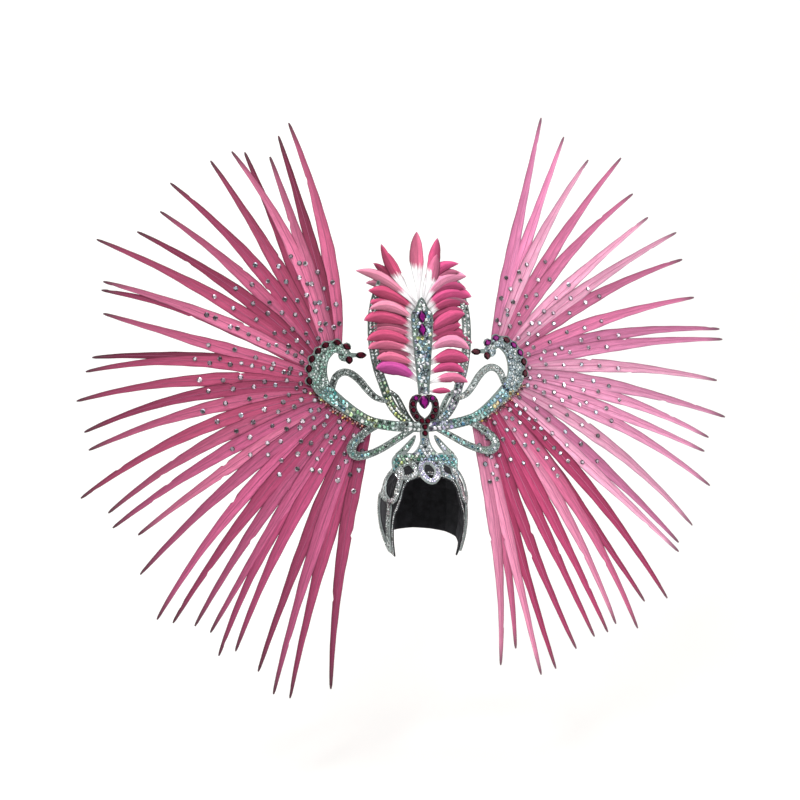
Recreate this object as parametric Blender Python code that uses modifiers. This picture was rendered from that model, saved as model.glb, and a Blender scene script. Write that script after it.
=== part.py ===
"""Carnival feather headdress: a lined cap, a stoned frame with two swans, a crest and two feather fans.

Metres, +Z up. The wearer faces -Y and the origin is the crown of the head, where the cap sits.
Left and right are those of someone who looks at the wearer. Everything above the cap is drawn flat,
as seen from the front, and then set in place: leaned back and swept back to both sides.
"""
import math

import bmesh
import bpy
from mathutils import Matrix, Vector

# Cap, sized for the head that wears it
HEAD_HALF_WIDTH = 0.080
HEAD_HALF_DEPTH = 0.098
CROWN_DEPTH = 0.095          # crown down to the widest level of the head
CHEEK_DEPTH = 0.177          # crown down to the points of the cheek flaps
CROWN_FULLNESS = (2.8, 2.1)  # across and front to back: 2 is an ellipse, more is fuller near the crown
JAW_TAPER = 0.225            # share of the half width lost between the widest level and the cheek points
NAPE_TAPER = 0.10
CAP_WALL = 0.002
CAP_ROWS = 7
CUTTER_TOP = 0.02            # the first ring of the cap's cutter, as a share of the way down

# Gaps
SEAT_GAP = 0.0003            # between flat or cut faces that meet
CAP_CLEARANCE = 0.0006       # between the curved cap and what lies on it

# Scrollwork on the cap
SCROLL_WIDTH = 0.012
SCROLL_HEIGHT = 0.003
SCROLL_STEP = 0.0004         # each loop of a side lies a little higher than the last
SCROLL_SETBACK = 0.002       # the loops also keep this far clear behind the foot
BROW_WIDTH = 0.013
BROW_HEIGHT = 0.004
BROW_HALF_SPAN = 0.015
BROW_DROP = 0.037

# Frame above the cap
HUB_HEIGHT = 0.065           # crown up to the point where the bands meet
FRAME_FORWARD = 0.022        # how far the back of the bands stands in front of the crown
LEAN = math.radians(7.0)
SWEEP = math.radians(9.0)
FLAT_HALF_WIDTH = 0.032      # the middle stretch that isn't swept back
BAND_THICKNESS = 0.006
BACKING_THICKNESS = 0.0065
BAND_CHAMFER = 0.0012
FUSE_STEP = 0.0002           # fused plates differ this much, so that no faces coincide

# Foot on the crown
STALK_HALF_WIDTH = 0.0075
FOOT_HALF_SPAN = 0.064
FOOT_DROP = 0.095            # hub down to the lowest point of the foot, before the cap cuts it
FOOT_LEAF_WIDTH = 0.013

# Heart
HEART_HALF_WIDTH = 0.022     # middle of the ring of stones
HEART_HEIGHT = 0.0475
HEART_BASE = 0.007           # lowest point of that ring above the hub
HEART_BAND_WIDTH = 0.0142

# Spire
SPIRE_BASE = 0.062           # above the hub
SPIRE_TOP = 0.2425
SPIRE_WIDTH = 0.042
SPIRE_END_GAP = 0.0036       # the backing strip ends this far below the tip

# Side wings
WING_HALF_SPAN = 0.214       # centre out to the back of the swan
WING_RISE = 0.177            # hub up to the top of the swan's neck
WING_ROLL = math.radians(2.1)    # swans and loops stand turned about the hub, the right side higher
SWAN_WIDTH = 0.036
HEAD_RADIUS = 0.0125
BEAK_WIDTH = 0.010
LOOP_WIDTH = 0.0135
LYRE_RISE = 0.280
LYRE_HALF_SPAN = 0.091
LYRE_WIDTH = 0.015
BACKING_WIDTH = 0.015
HUB_REACH = 0.072            # length of the swan's band backed by the hub plate, before the fan's
HUB_STEM = 0.049             # how far that plate reaches down behind the foot
BACKING_GAP = 0.0008

# Feathers
FAN_REACH = 0.660            # hub out to the longest tips
FEATHER_WIDTH = 0.029
FEATHER_THICKNESS = 0.0014
FAN_LAYERS = 3
CREST_WIDTH = 0.027
CREST_LAYERS = 3
CREST_RISE = 0.376           # hub up to the top of the crest

# Stones
ROUND_STONE = 0.0112
HEART_PEAR = (0.0260, 0.0200)
SWAN_NAVETTE = (0.0172, 0.0122)
BEAK_NAVETTE = (0.0205, 0.0125)
CHEEK_PEAR = (0.0155, 0.0140)
SPIRE_NAVETTE = (0.0248, 0.0170)
STONE_HEIGHT = 0.0035
TABLE_SHARE = 0.58
STONE_SIDES = 10

# Edge of the cap: longitude from the face in degrees, depth as a share of CHEEK_DEPTH
CAP_EDGE = [
    (0.0, 0.14), (17.0, 0.16), (29.0, 0.18), (37.0, 0.215), (41.0, 0.28), (43.5, 0.38),
    (48.0, 0.47), (53.5, 0.55), (57.5, 0.67), (61.5, 0.80), (67.0, 0.93), (71.5, 1.00),
    (79.0, 0.97), (89.0, 0.89), (105.0, 0.83), (130.0, 0.79), (155.0, 0.77), (180.0, 0.76),
]

# Loops on the cap: longitude in degrees, depth as a share of CROWN_DEPTH
FRONT_LOOP = [
    (23.0, 0.17), (34.0, 0.09), (49.0, 0.08), (58.0, 0.16), (55.0, 0.27), (43.0, 0.325),
    (30.0, 0.31), (22.0, 0.25),
]
TEMPLE_LOOP = [
    (48.0, 0.25), (58.0, 0.17), (70.0, 0.18), (77.5, 0.31), (78.0, 0.50), (71.0, 0.69),
    (61.0, 0.78), (52.0, 0.72), (48.5, 0.56), (46.5, 0.40),
]
CHEEK_LOOP = [
    (61.0, 0.82), (61.5, 1.00), (64.5, 1.24), (68.5, 1.50), (72.5, 1.72), (77.0, 1.70),
    (82.0, 1.48), (88.0, 1.20), (92.0, 0.95), (90.0, 0.74), (82.0, 0.66), (70.0, 0.72),
]

# Loop over the forehead: out as a share of BROW_HALF_SPAN, depth as a share of BROW_DROP
BROW_LOOP = [
    (0.00, 0.16), (0.62, 0.20), (1.00, 0.42), (0.92, 0.68), (0.50, 0.90), (0.00, 1.00),
    (-0.50, 0.90), (-0.92, 0.68), (-1.00, 0.42), (-0.62, 0.20),
]

# Routes of the bands: out and up from the hub as shares of the half span and the rise that each
# follows, then the half width as a share of the band's width
SWAN_ROUTE = [
    (0.150, 0.010, 0.27), (0.280, 0.023, 0.27), (0.467, 0.073, 0.27), (0.600, 0.164, 0.29),
    (0.715, 0.270, 0.34), (0.818, 0.378, 0.40), (0.893, 0.490, 0.47), (0.916, 0.633, 0.50),
    (0.885, 0.780, 0.46), (0.815, 0.870, 0.39), (0.745, 0.895, 0.32), (0.690, 0.860, 0.28),
]
HEAD_CENTRE = (0.668, 0.800)
CHEEK_CENTRE = (0.633, 0.745)
BEAK_ROUTE = [(0.668, 0.795, 0.50), (0.590, 0.797, 0.46), (0.525, 0.793, 0.25)]
WING_LOOP_ROUTE = [
    (0.792, 0.440, 0.42), (0.780, 0.500, 0.46), (0.752, 0.572, 0.50), (0.696, 0.616, 0.50),
    (0.628, 0.606, 0.50), (0.550, 0.530, 0.50), (0.488, 0.430, 0.48), (0.425, 0.345, 0.44),
    (0.362, 0.305, 0.38), (0.318, 0.292, 0.26),
]
BOW_LOOP_ROUTE = [
    (0.410, 0.045, 0.50), (0.490, -0.005, 0.50), (0.572, -0.075, 0.52), (0.640, -0.155, 0.60),
    (0.658, -0.228, 0.64), (0.612, -0.282, 0.58), (0.510, -0.270, 0.50), (0.383, -0.208, 0.48),
    (0.262, -0.124, 0.46), (0.150, -0.045, 0.44), (0.100, -0.010, 0.40),
]
LYRE_ROUTE = [
    (0.240, 0.015, 0.50), (0.515, 0.085, 0.54), (0.700, 0.175, 0.56), (0.815, 0.285, 0.56),
    (0.930, 0.400, 0.56), (1.010, 0.555, 0.56), (1.020, 0.715, 0.56), (0.970, 0.860, 0.48),
    (0.870, 1.000, 0.20),
]
LYRE_PRONG = [
    (0.240, 0.025, 0.36), (0.350, 0.075, 0.36), (0.445, 0.140, 0.34), (0.550, 0.205, 0.30),
    (0.690, 0.245, 0.20),
]
HEART_ROUTE = [
    (0.00, 0.86), (0.40, 1.00), (0.80, 0.97), (1.00, 0.77), (0.97, 0.52), (0.70, 0.27),
    (0.28, 0.09), (0.00, 0.00),
]
HEART_STONES = [(0.73, 1.00), (1.00, 0.77), (0.97, 0.52), (0.71, 0.27), (0.265, 0.09)]
STALK_STONES = [0.000, -0.012]
SPIRE_ROUTE = [
    (0.00, 0.25), (0.08, 0.27), (0.26, 0.335), (0.44, 0.40), (0.62, 0.46), (0.80, 0.51),
    (0.87, 0.46), (0.91, 0.32), (0.95, 0.23), (1.00, 0.15),
]
SPIRE_STONES = [0.684, 0.823]
FOOT_STALK = [
    (0.0, 0.06, 1.0), (0.0, -0.19, 1.0), (0.0, -0.37, 1.15), (0.0, -0.56, 1.70),
    (0.0, -0.72, 2.75), (0.0, -0.84, 4.30),
]
FOOT_TOP = [
    (0.00, -0.74), (0.40, -0.76), (0.72, -0.74), (0.89, -0.80), (0.99, -0.93), (1.00, -1.12),
    (0.95, -1.40),
]
FOOT_LEAF = [
    (0.83, -0.86, 0.50), (0.66, -0.71, 0.50), (0.51, -0.55, 0.46), (0.39, -0.40, 0.36),
    (0.30, -0.26, 0.14),
]

# Navettes along the back of the swan: out and up as shares, turn in degrees from level
SWAN_STONES = [
    (0.647, 0.890, 32.0), (0.729, 0.938, 8.0), (0.832, 0.915, -25.0), (0.900, 0.856, -45.0),
    (0.958, 0.771, -61.0), (0.988, 0.669, -80.0), (0.991, 0.537, -98.0),
]
STONE_LEDGE = 0.0085         # half width of the scalloped edge under the navettes

# Fans, from the top feather down: angle of the tip above level in degrees, reach as a share of
# FAN_REACH, bow as a share of the length
FAN_LEFT = [
    (67.4, 0.97, 0.045), (64.7, 0.945, 0.015), (61.5, 0.90, 0.010), (58.2, 0.95, 0.00),
    (56.2, 0.97, 0.060), (52.5, 0.985, 0.020), (44.8, 1.01, 0.045), (40.1, 0.975, 0.040),
    (34.9, 0.99, 0.045), (30.4, 1.075, 0.035), (24.8, 1.00, 0.035), (23.4, 0.995, 0.055),
    (19.8, 0.965, 0.000), (12.0, 0.96, 0.045), (9.4, 0.97, 0.070), (4.3, 0.985, 0.055),
    (-0.9, 0.96, 0.070), (-4.0, 0.95, 0.050), (-11.8, 0.99, 0.065), (-15.3, 0.925, 0.060),
    (-18.0, 0.925, 0.035), (-20.7, 0.865, 0.020), (-27.4, 0.905, 0.035), (-35.5, 0.93, 0.050),
    (-37.6, 0.90, 0.035), (-40.7, 0.86, 0.030), (-43.5, 0.84, 0.015), (-47.6, 0.87, 0.045),
    (-49.4, 0.83, 0.035), (-55.0, 0.835, 0.015), (-59.6, 0.865, 0.020), (-62.8, 0.855, 0.020),
    (-69.2, 0.785, 0.030),
]
FAN_RIGHT = [
    (66.8, 1.025, 0.000), (61.6, 1.01, 0.010), (55.8, 0.99, 0.040), (51.0, 1.075, 0.030),
    (45.4, 1.015, 0.050), (40.5, 1.00, 0.020), (35.3, 1.045, 0.030), (30.7, 1.02, 0.045),
    (23.8, 0.99, 0.035), (16.8, 1.045, 0.045), (15.0, 1.04, 0.030), (8.1, 0.985, 0.035),
    (1.4, 0.995, 0.030), (-2.4, 0.94, 0.045), (-5.1, 0.925, 0.020), (-11.4, 0.955, 0.050),
    (-19.6, 0.92, 0.055), (-23.8, 0.885, 0.025), (-25.4, 0.90, 0.005), (-32.4, 0.855, 0.030),
    (-34.4, 0.925, 0.040), (-37.6, 0.865, 0.015), (-42.6, 0.895, 0.050), (-45.0, 0.835, 0.040),
    (-47.5, 0.83, 0.015), (-50.3, 0.81, 0.000), (-55.2, 0.795, -0.020), (-61.3, 0.805, -0.010),
    (-64.8, 0.795, 0.000), (-67.6, 0.695, 0.030), (-72.5, 0.72, 0.040),
]
FAN_ROOTS = (0.985, 0.300)   # where the first and the last feather are rooted along the swan's route

# Width and thickness of a feather along its length, as shares
FAN_VANE = [
    (0.00, 0.42, 1.0), (0.13, 0.84, 1.0), (0.30, 1.00, 1.0), (0.50, 0.88, 0.9),
    (0.70, 0.58, 0.75), (0.88, 0.27, 0.5), (1.00, 0.04, 0.2),
]
CREST_VANE = [
    (0.00, 0.10, 1.0), (0.20, 0.32, 1.0), (0.42, 0.80, 1.0), (0.64, 1.00, 1.0),
    (0.86, 0.72, 0.8), (1.00, 0.10, 0.3),
]

# Crest feathers: root height between SPIRE_BASE and SPIRE_TOP, tip out and up as shares of
# CREST_RISE, bow, width as a share of CREST_WIDTH
CREST_LEFT = [
    (0.97, 0.015, 1.000, 0.00, 1.1), (0.95, 0.198, 0.935, 0.03, 0.9), (0.92, 0.180, 0.905, 0.06, 1.0),
    (0.90, 0.325, 0.798, -0.03, 1.0), (0.86, 0.268, 0.692, -0.04, 1.1), (0.80, 0.258, 0.632, -0.04, 1.1),
    (0.74, 0.263, 0.598, -0.04, 1.0), (0.66, 0.292, 0.540, -0.05, 1.0), (0.57, 0.263, 0.480, -0.05, 1.1),
    (0.47, 0.280, 0.440, -0.06, 1.0), (0.38, 0.273, 0.396, -0.06, 1.0), (0.26, 0.232, 0.345, -0.06, 1.0),
    (0.10, 0.237, 0.296, -0.08, 1.1),
]
CREST_RIGHT = [
    (0.97, 0.100, 0.973, 0.02, 1.0), (0.95, 0.090, 0.885, 0.02, 0.9), (0.93, 0.213, 0.843, -0.10, 0.9),
    (0.90, 0.253, 0.777, -0.10, 1.2), (0.84, 0.275, 0.670, -0.12, 1.3), (0.78, 0.263, 0.630, -0.08, 1.0),
    (0.62, 0.232, 0.580, -0.02, 1.0), (0.56, 0.213, 0.519, -0.03, 1.0), (0.46, 0.275, 0.428, -0.12, 1.1),
    (0.42, 0.253, 0.396, -0.06, 1.0), (0.28, 0.248, 0.338, -0.08, 1.0), (0.18, 0.223, 0.277, -0.04, 0.9),
    (0.10, 0.240, 0.226, -0.02, 0.8), (0.03, 0.150, 0.180, 0.03, 0.5),
]

PART_NAME = "feather_headdress"
SIDES = {"left": -1, "right": 1}


def start_clean():
    for thing in list(bpy.data.objects):
        bpy.data.objects.remove(thing, do_unlink=True)
    collection = bpy.data.collections.new(PART_NAME)
    bpy.context.scene.collection.children.link(collection)
    return collection


COLLECTION = start_clean()


def place_object(name, data):
    thing = bpy.data.objects.new(name, data)
    COLLECTION.objects.link(thing)
    return thing


def evaluated_mesh(thing):
    """The object's shape with its modifiers, in world space, as a new mesh with welded caps."""
    bpy.context.view_layer.update()
    graph = bpy.context.evaluated_depsgraph_get()
    mesh = bpy.data.meshes.new_from_object(thing.evaluated_get(graph))
    mesh.transform(thing.matrix_world)
    form = bmesh.new()
    form.from_mesh(mesh)
    bmesh.ops.remove_doubles(form, verts=form.verts, dist=1e-6)
    bmesh.ops.recalc_face_normals(form, faces=form.faces)
    form.to_mesh(mesh)
    form.free()
    return mesh


def made_mesh(thing):
    """Replaces an object by its evaluated mesh, which can be cut and joined."""
    name = thing.name
    mesh = evaluated_mesh(thing)
    bpy.data.objects.remove(thing, do_unlink=True)
    mesh.name = name
    return place_object(name, mesh)


def combine(thing, others, operation):
    """Cuts or joins with each of the other objects, which are used up."""
    for other in others:
        step = thing.modifiers.new("combine", "BOOLEAN")
        step.operation = operation
        step.solver = "EXACT"
        step.object = other
    thing.data = evaluated_mesh(thing)
    thing.modifiers.clear()
    for other in others:
        bpy.data.objects.remove(other, do_unlink=True)
    return thing


def finish(thing, colour, roughness, metallic=0.0):
    material = bpy.data.materials.new(thing.name)
    material.use_nodes = True
    shader = material.node_tree.nodes["Principled BSDF"]
    shader.inputs["Base Color"].default_value = (*colour, 1.0)
    shader.inputs["Roughness"].default_value = roughness
    shader.inputs["Metallic"].default_value = metallic
    thing.data.materials.clear()
    thing.data.materials.append(material)
    return thing


def smooth_rows(rows, steps, closed=False):
    """Rows of a table joined by a smooth curve that passes through each of them."""
    points = [Vector(row) for row in rows]
    count = len(points)
    spans = count if closed else count - 1
    result = []
    for index in range(spans):
        start = points[index]
        end = points[(index + 1) % count]
        before = points[index - 1] if closed or index > 0 else 2 * start - end
        after = points[(index + 2) % count] if closed or index + 2 < count else 2 * end - start
        for step in range(steps):
            t = step / steps
            bend = (2 * before - 5 * start + 4 * end - after) * t * t
            twist = (3 * start - before - 3 * end + after) * t ** 3
            result.append(0.5 * (2 * start + (end - before) * t + bend + twist))
    if not closed:
        result.append(points[-1])
    return result


def band_rows(table, span, rise, width, steps=2, closed=False):
    """A route in metres from the hub: out, up and half width."""
    rows = [(out * span, up * rise, half * width) for out, up, half in table]
    return smooth_rows(rows, steps, closed)


def across(rows, index, closed):
    """The unit vector across a route at one of its rows, to the left of its direction."""
    last = len(rows) - 1
    if closed:
        ahead, behind = rows[(index + 1) % len(rows)], rows[index - 1]
    else:
        ahead, behind = rows[min(index + 1, last)], rows[max(index - 1, 0)]
    along = Vector((ahead[0] - behind[0], ahead[1] - behind[1])).normalized()
    return Vector((-along.y, along.x))


def band_outline(rows, grow=0.0, pointed=False):
    """The outline of an open band: one edge out, the other edge back."""
    left, right = [], []
    for index, row in enumerate(rows):
        centre = Vector((row[0], row[1]))
        reach = across(rows, index, False) * (row[2] + grow)
        left.append(centre + reach)
        right.append(centre - reach)
    outline = left
    if pointed:
        end, before = rows[-1], rows[-2]
        along = Vector((end[0] - before[0], end[1] - before[1])).normalized()
        outline = outline + [Vector((end[0], end[1])) + along * (end[2] + grow)]
    return outline + right[::-1]


def ring_outlines(rows, grow=0.0):
    """Both outlines of a closed band."""
    outer, inner = [], []
    for index, row in enumerate(rows):
        centre = Vector((row[0], row[1]))
        reach = across(rows, index, True) * (row[2] + grow)
        outer.append(centre + reach)
        inner.append(centre - reach)
    return outer, inner


def plate(name, outlines, back, thickness, side=1, chamfer=0.0):
    """A flat plate in front view. Its back is at y = -back, and its outlines are relative to the hub."""
    curve = bpy.data.curves.new(name, "CURVE")
    curve.dimensions = "2D"
    curve.fill_mode = "BOTH"
    curve.extrude = thickness / 2 - chamfer
    curve.bevel_depth = chamfer
    curve.bevel_resolution = 0
    curve.offset = -chamfer
    for outline in outlines:
        spline = curve.splines.new("POLY")
        spline.points.add(len(outline) - 1)
        spline.use_cyclic_u = True
        for point, place in zip(spline.points, outline):
            point.co = (side * place[0], place[1], 0.0, 1.0)
    thing = place_object(name, curve)
    thing.rotation_euler.x = math.pi / 2
    thing.location = (0.0, -back - thickness / 2, HUB_HEIGHT)
    return made_mesh(thing)


def front_plate(name, outlines, side=1, chamfer=0.0, thinner=0.0):
    back = SEAT_GAP + thinner / 2
    return plate(name, outlines, back, BAND_THICKNESS - thinner, side, chamfer)


def backing_plate(name, outlines, side=1, behind=0.0):
    """A plate behind the bands: its front is at y = behind."""
    return plate(name, outlines, -BACKING_THICKNESS - behind, BACKING_THICKNESS, side)


def cutter(outlines, side=1):
    """A plate thick enough to cut through the bands."""
    return plate("cutter", outlines, -BAND_THICKNESS, 4 * BAND_THICKNESS, side)


def loft(name, sections, closed):
    """A solid through sections of points in order round each, with flat ends unless it is closed."""
    form = bmesh.new()
    rings = [[form.verts.new(point) for point in section] for section in sections]
    sides = len(rings[0])
    pairs = list(zip(rings, rings[1:]))
    if closed:
        pairs.append((rings[-1], rings[0]))
    else:
        form.faces.new(rings[0])
        form.faces.new(rings[-1][::-1])
    for ring, following in pairs:
        for k in range(sides):
            n = (k + 1) % sides
            form.faces.new((ring[k], following[k], following[n], ring[n]))
    bmesh.ops.recalc_face_normals(form, faces=form.faces)
    mesh = bpy.data.meshes.new(name)
    form.to_mesh(mesh)
    form.free()
    return place_object(name, mesh)


def set_in_place(thing):
    """Leans the flat drawing back and sweeps its sides back, without moving it in the front view."""
    form = bmesh.new()
    form.from_mesh(thing.data)
    for side in SIDES.values():
        parts = form.verts[:] + form.edges[:] + form.faces[:]
        fold = Vector((side * FLAT_HALF_WIDTH, 0.0, 0.0))
        bmesh.ops.bisect_plane(form, geom=parts, dist=1e-7, plane_co=fold, plane_no=(1.0, 0.0, 0.0))
    for vert in form.verts:
        swept = max(0.0, abs(vert.co.x) - FLAT_HALF_WIDTH)
        vert.co.y += math.tan(SWEEP) * swept + math.tan(LEAN) * vert.co.z - FRAME_FORWARD
    form.to_mesh(thing.data)
    form.free()
    return thing


# Cap

def head_radii(depth):
    """Half width and half depth of the head at a depth below the crown."""
    if depth <= CROWN_DEPTH:
        above = 1.0 - depth / CROWN_DEPTH
        wide, deep = [(1.0 - above ** fullness) ** (1 / fullness) for fullness in CROWN_FULLNESS]
        return HEAD_HALF_WIDTH * wide, HEAD_HALF_DEPTH * deep
    drop = (depth - CROWN_DEPTH) / (CHEEK_DEPTH - CROWN_DEPTH)
    return HEAD_HALF_WIDTH * (1 - JAW_TAPER * drop ** 2), HEAD_HALF_DEPTH * (1 - NAPE_TAPER * drop ** 2)


def head_point(longitude, depth):
    half_width, half_depth = head_radii(depth)
    angle = math.radians(longitude)
    return Vector((half_width * math.sin(angle), -half_depth * math.cos(angle), -depth))


def head_normal(longitude, depth):
    step = 1e-4
    if depth < 2 * step:
        return Vector((0.0, 0.0, 1.0))
    around = head_point(longitude + 0.5, depth) - head_point(longitude - 0.5, depth)
    down = head_point(longitude, depth + step) - head_point(longitude, depth - step)
    return down.cross(around).normalized()


def cap_point(longitude, depth, lift):
    return head_point(longitude, depth) + head_normal(longitude, depth) * lift


def edge_rows():
    """The edge of the cap all round, as longitude and depth."""
    half = [(longitude, share * CHEEK_DEPTH) for longitude, share in CAP_EDGE]
    mirrored = [(-longitude, depth) for longitude, depth in half[:0:-1]]
    return mirrored + half


def make_cap():
    """A grid over the head, from the crown down to the edge, made a wall by Solidify."""
    edge = edge_rows()
    columns = len(edge) - 1
    form = bmesh.new()
    bmesh.ops.create_grid(form, x_segments=columns, y_segments=CAP_ROWS, size=1.0)
    for vert in form.verts:
        longitude, lowest = edge[round((vert.co.x + 1) / 2 * columns)]
        down = 1 - (vert.co.y + 1) / 2
        if lowest <= CROWN_DEPTH:
            reach = math.acos(1 - lowest / CROWN_DEPTH)
        else:
            reach = math.pi / 2 + lowest / CROWN_DEPTH - 1
        turn = down * reach
        share = 1 - math.cos(turn) if turn <= math.pi / 2 else 1 + turn - math.pi / 2
        vert.co = head_point(longitude, share * CROWN_DEPTH)
    bmesh.ops.remove_doubles(form, verts=form.verts, dist=1e-6)
    mesh = bpy.data.meshes.new("cap_base")
    form.to_mesh(mesh)
    form.free()
    cap = place_object("cap_base", mesh)
    wall = cap.modifiers.new("wall", "SOLIDIFY")
    wall.thickness = CAP_WALL
    wall.offset = 1.0
    mesh.shade_smooth()
    return finish(cap, (0.012, 0.012, 0.014), 0.85)


def cap_strip(name, rows, width, height, lift, top_share=0.7):
    """A closed strip that lies on the cap along a route of longitude and depth."""
    base = CAP_WALL + CAP_CLEARANCE + lift
    sections = []
    for index, (longitude, depth) in enumerate(rows):
        ahead = rows[(index + 1) % len(rows)]
        behind = rows[index - 1]
        normal = head_normal(longitude, depth)
        along = cap_point(ahead[0], ahead[1], base) - cap_point(behind[0], behind[1], base)
        sideways = normal.cross(along).normalized() * width / 2
        foot = cap_point(longitude, depth, base)
        top = foot + normal * height
        inset = top_share * sideways
        sections.append([foot - sideways, foot + sideways, top + inset, top - inset])
    return loft(name, sections, closed=True)


def make_scrollwork(name, side):
    loops = []
    for level, table in enumerate((FRONT_LOOP, TEMPLE_LOOP, CHEEK_LOOP)):
        rows = smooth_rows([(side * longitude, share * CROWN_DEPTH) for longitude, share in table], 2, True)
        loops.append(cap_strip(name, rows, SCROLL_WIDTH, SCROLL_HEIGHT, level * SCROLL_STEP))
    scroll = combine(loops[0], loops[1:], "UNION")
    scroll.name = f"scrollwork_{name}"
    room = cap_strip("room", brow_rows(), BROW_WIDTH + 2 * SEAT_GAP, 2 * BROW_HEIGHT, -CAP_WALL, 1.0)
    combine(scroll, [room] + foot_cutters(), "DIFFERENCE")
    return finish(scroll, (0.55, 0.58, 0.58), 0.3, 0.6)


def brow_rows():
    rows = []
    for out, share in smooth_rows(BROW_LOOP, 2, closed=True):
        depth = share * BROW_DROP
        half_width = head_radii(depth)[0]
        longitude = math.degrees(math.asin(out * BROW_HALF_SPAN / half_width))
        rows.append((longitude, depth))
    return rows


def make_brow_loop():
    brow = cap_strip("brow_loop", brow_rows(), BROW_WIDTH, BROW_HEIGHT, 0.0)
    return finish(brow, (0.70, 0.68, 0.80), 0.25, 0.5)


def cap_cutter():
    """The outside of the cap's dome with its clearance, closed below."""
    rings, around = 10, 32
    sections = []
    for step in range(rings + 1):
        depth = CROWN_DEPTH * (CUTTER_TOP + (1 - CUTTER_TOP) * step / rings) ** 2
        turns = [360 * k / around for k in range(around)]
        sections.append([cap_point(turn, depth, CAP_WALL + CAP_CLEARANCE) for turn in turns])
    return loft("cap_cutter", sections, closed=False)


# Bands

def heart_rows(grow=0.0):
    half = [(out * HEART_HALF_WIDTH, HEART_BASE + up * HEART_HEIGHT, HEART_BAND_WIDTH / 2 + grow)
            for out, up in HEART_ROUTE]
    mirrored = [(-out, up, width) for out, up, width in half[-2:0:-1]]
    return smooth_rows(half + mirrored, 2, closed=True)


def make_heart():
    outer, inner = ring_outlines(heart_rows())
    heart = front_plate("heart_frame", [outer, inner], 1, BAND_CHAMFER)
    return finish(set_in_place(heart), (0.75, 0.76, 0.78), 0.3, 0.5)


def heart_cutter():
    outer, _ = ring_outlines(heart_rows(SEAT_GAP))
    return cutter([outer])


def foot_bands():
    """The routes of the foot's stalk and of its right leaf."""
    stalk = band_rows(FOOT_STALK, FOOT_HALF_SPAN, HUB_HEIGHT, STALK_HALF_WIDTH)
    leaf = band_rows(FOOT_LEAF, FOOT_HALF_SPAN, HUB_HEIGHT, FOOT_LEAF_WIDTH)
    return stalk, leaf


def foot_bar_outline():
    """The bar that stands on the cap: a scalloped top and an underside that the cap cuts to fit."""
    top = smooth_rows([(out * FOOT_HALF_SPAN, up * HUB_HEIGHT) for out, up in FOOT_TOP], 2)
    low = FOOT_TOP[-1][0] * FOOT_HALF_SPAN
    return [(-out, up) for out, up in top[:0:-1]] + top + [(low, -FOOT_DROP), (-low, -FOOT_DROP)]


def make_foot():
    stalk, leaf = foot_bands()
    foot = front_plate("crest_foot", [band_outline(stalk)])
    others = [front_plate("bar", [foot_bar_outline()], 1, 0.0, FUSE_STEP)]
    for side in SIDES.values():
        others.append(front_plate("leaf", [band_outline(leaf, pointed=True)], side, 0.0, 2 * FUSE_STEP))
    combine(foot, others, "UNION")
    combine(foot, [heart_cutter()], "DIFFERENCE")
    set_in_place(foot)
    combine(foot, [cap_cutter()], "DIFFERENCE")
    return finish(foot, (0.45, 0.62, 0.58), 0.3, 0.5)


def stalk_cutter():
    return cutter([band_outline(foot_bands()[0], SEAT_GAP)])


def foot_cutters():
    """The foot with a gap all round, in place, for the strips of the cap that run up to it."""
    cutters = []
    grown = BAND_THICKNESS + 2 * SEAT_GAP + SCROLL_SETBACK
    leaf = band_outline(foot_bands()[1], SEAT_GAP, pointed=True)
    outlines = [foot_bar_outline(), band_outline(foot_bands()[0], SEAT_GAP), leaf]
    for outline in outlines + [[(-out, up) for out, up in leaf]]:
        cutters.append(set_in_place(plate("foot_cutter", [outline], -SCROLL_SETBACK, grown)))
    return cutters


def spire_rows():
    height = SPIRE_TOP - SPIRE_BASE
    return smooth_rows([(0.0, SPIRE_BASE + up * height, half * SPIRE_WIDTH) for up, half in SPIRE_ROUTE], 2)


def make_spire():
    outline = band_outline(spire_rows(), pointed=True)
    spire = front_plate("spire", [outline], 1, BAND_CHAMFER)
    combine(spire, [heart_cutter()], "DIFFERENCE")
    return finish(set_in_place(spire), (0.42, 0.60, 0.58), 0.3, 0.5)


def rolled(side, place):
    """A place of a wing, drawn on the right, after the turn about the hub of its own side."""
    turn = side * WING_ROLL
    out, up = place[0], place[1]
    turned = (out * math.cos(turn) - up * math.sin(turn), out * math.sin(turn) + up * math.cos(turn))
    return Vector((*turned, *place[2:]))


def wing_rows(side, table, width):
    return [rolled(side, row) for row in band_rows(table, WING_HALF_SPAN, WING_RISE, width)]


def wing_place(side, out, up):
    return rolled(side, (out * WING_HALF_SPAN, up * WING_RISE))


def swan_rows(side):
    """The swan's route, from the stalk of the foot out to the neck and over to the head."""
    rows = [(STALK_HALF_WIDTH / WING_HALF_SPAN, 0.0, SWAN_ROUTE[0][2])] + SWAN_ROUTE
    return wing_rows(side, rows, SWAN_WIDTH)


def round_outline(centre, radius, sides):
    turns = [2 * math.pi * k / sides for k in range(sides)]
    return [(centre[0] + radius * math.cos(turn), centre[1] + radius * math.sin(turn)) for turn in turns]


def make_swan(name, side):
    """Neck, head, beak and the scalloped ledge under the navettes, fused."""
    outlines = [
        band_outline(swan_rows(side)),
        round_outline(wing_place(side, *HEAD_CENTRE), HEAD_RADIUS, 12),
        band_outline(wing_rows(side, BEAK_ROUTE, BEAK_WIDTH), pointed=True),
    ]
    outlines += [round_outline(wing_place(side, out, up), STONE_LEDGE, 8) for out, up, _ in SWAN_STONES]
    parts = []
    for step, outline in enumerate(outlines):
        parts.append(front_plate(f"part_{step}", [outline], side, 0.0, step * FUSE_STEP))
    swan = combine(parts[0], parts[1:], "UNION")
    swan.name = f"swan_{name}"
    combine(swan, [heart_cutter(), stalk_cutter()], "DIFFERENCE")
    return finish(set_in_place(swan), (0.38, 0.60, 0.55), 0.3, 0.5)


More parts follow.
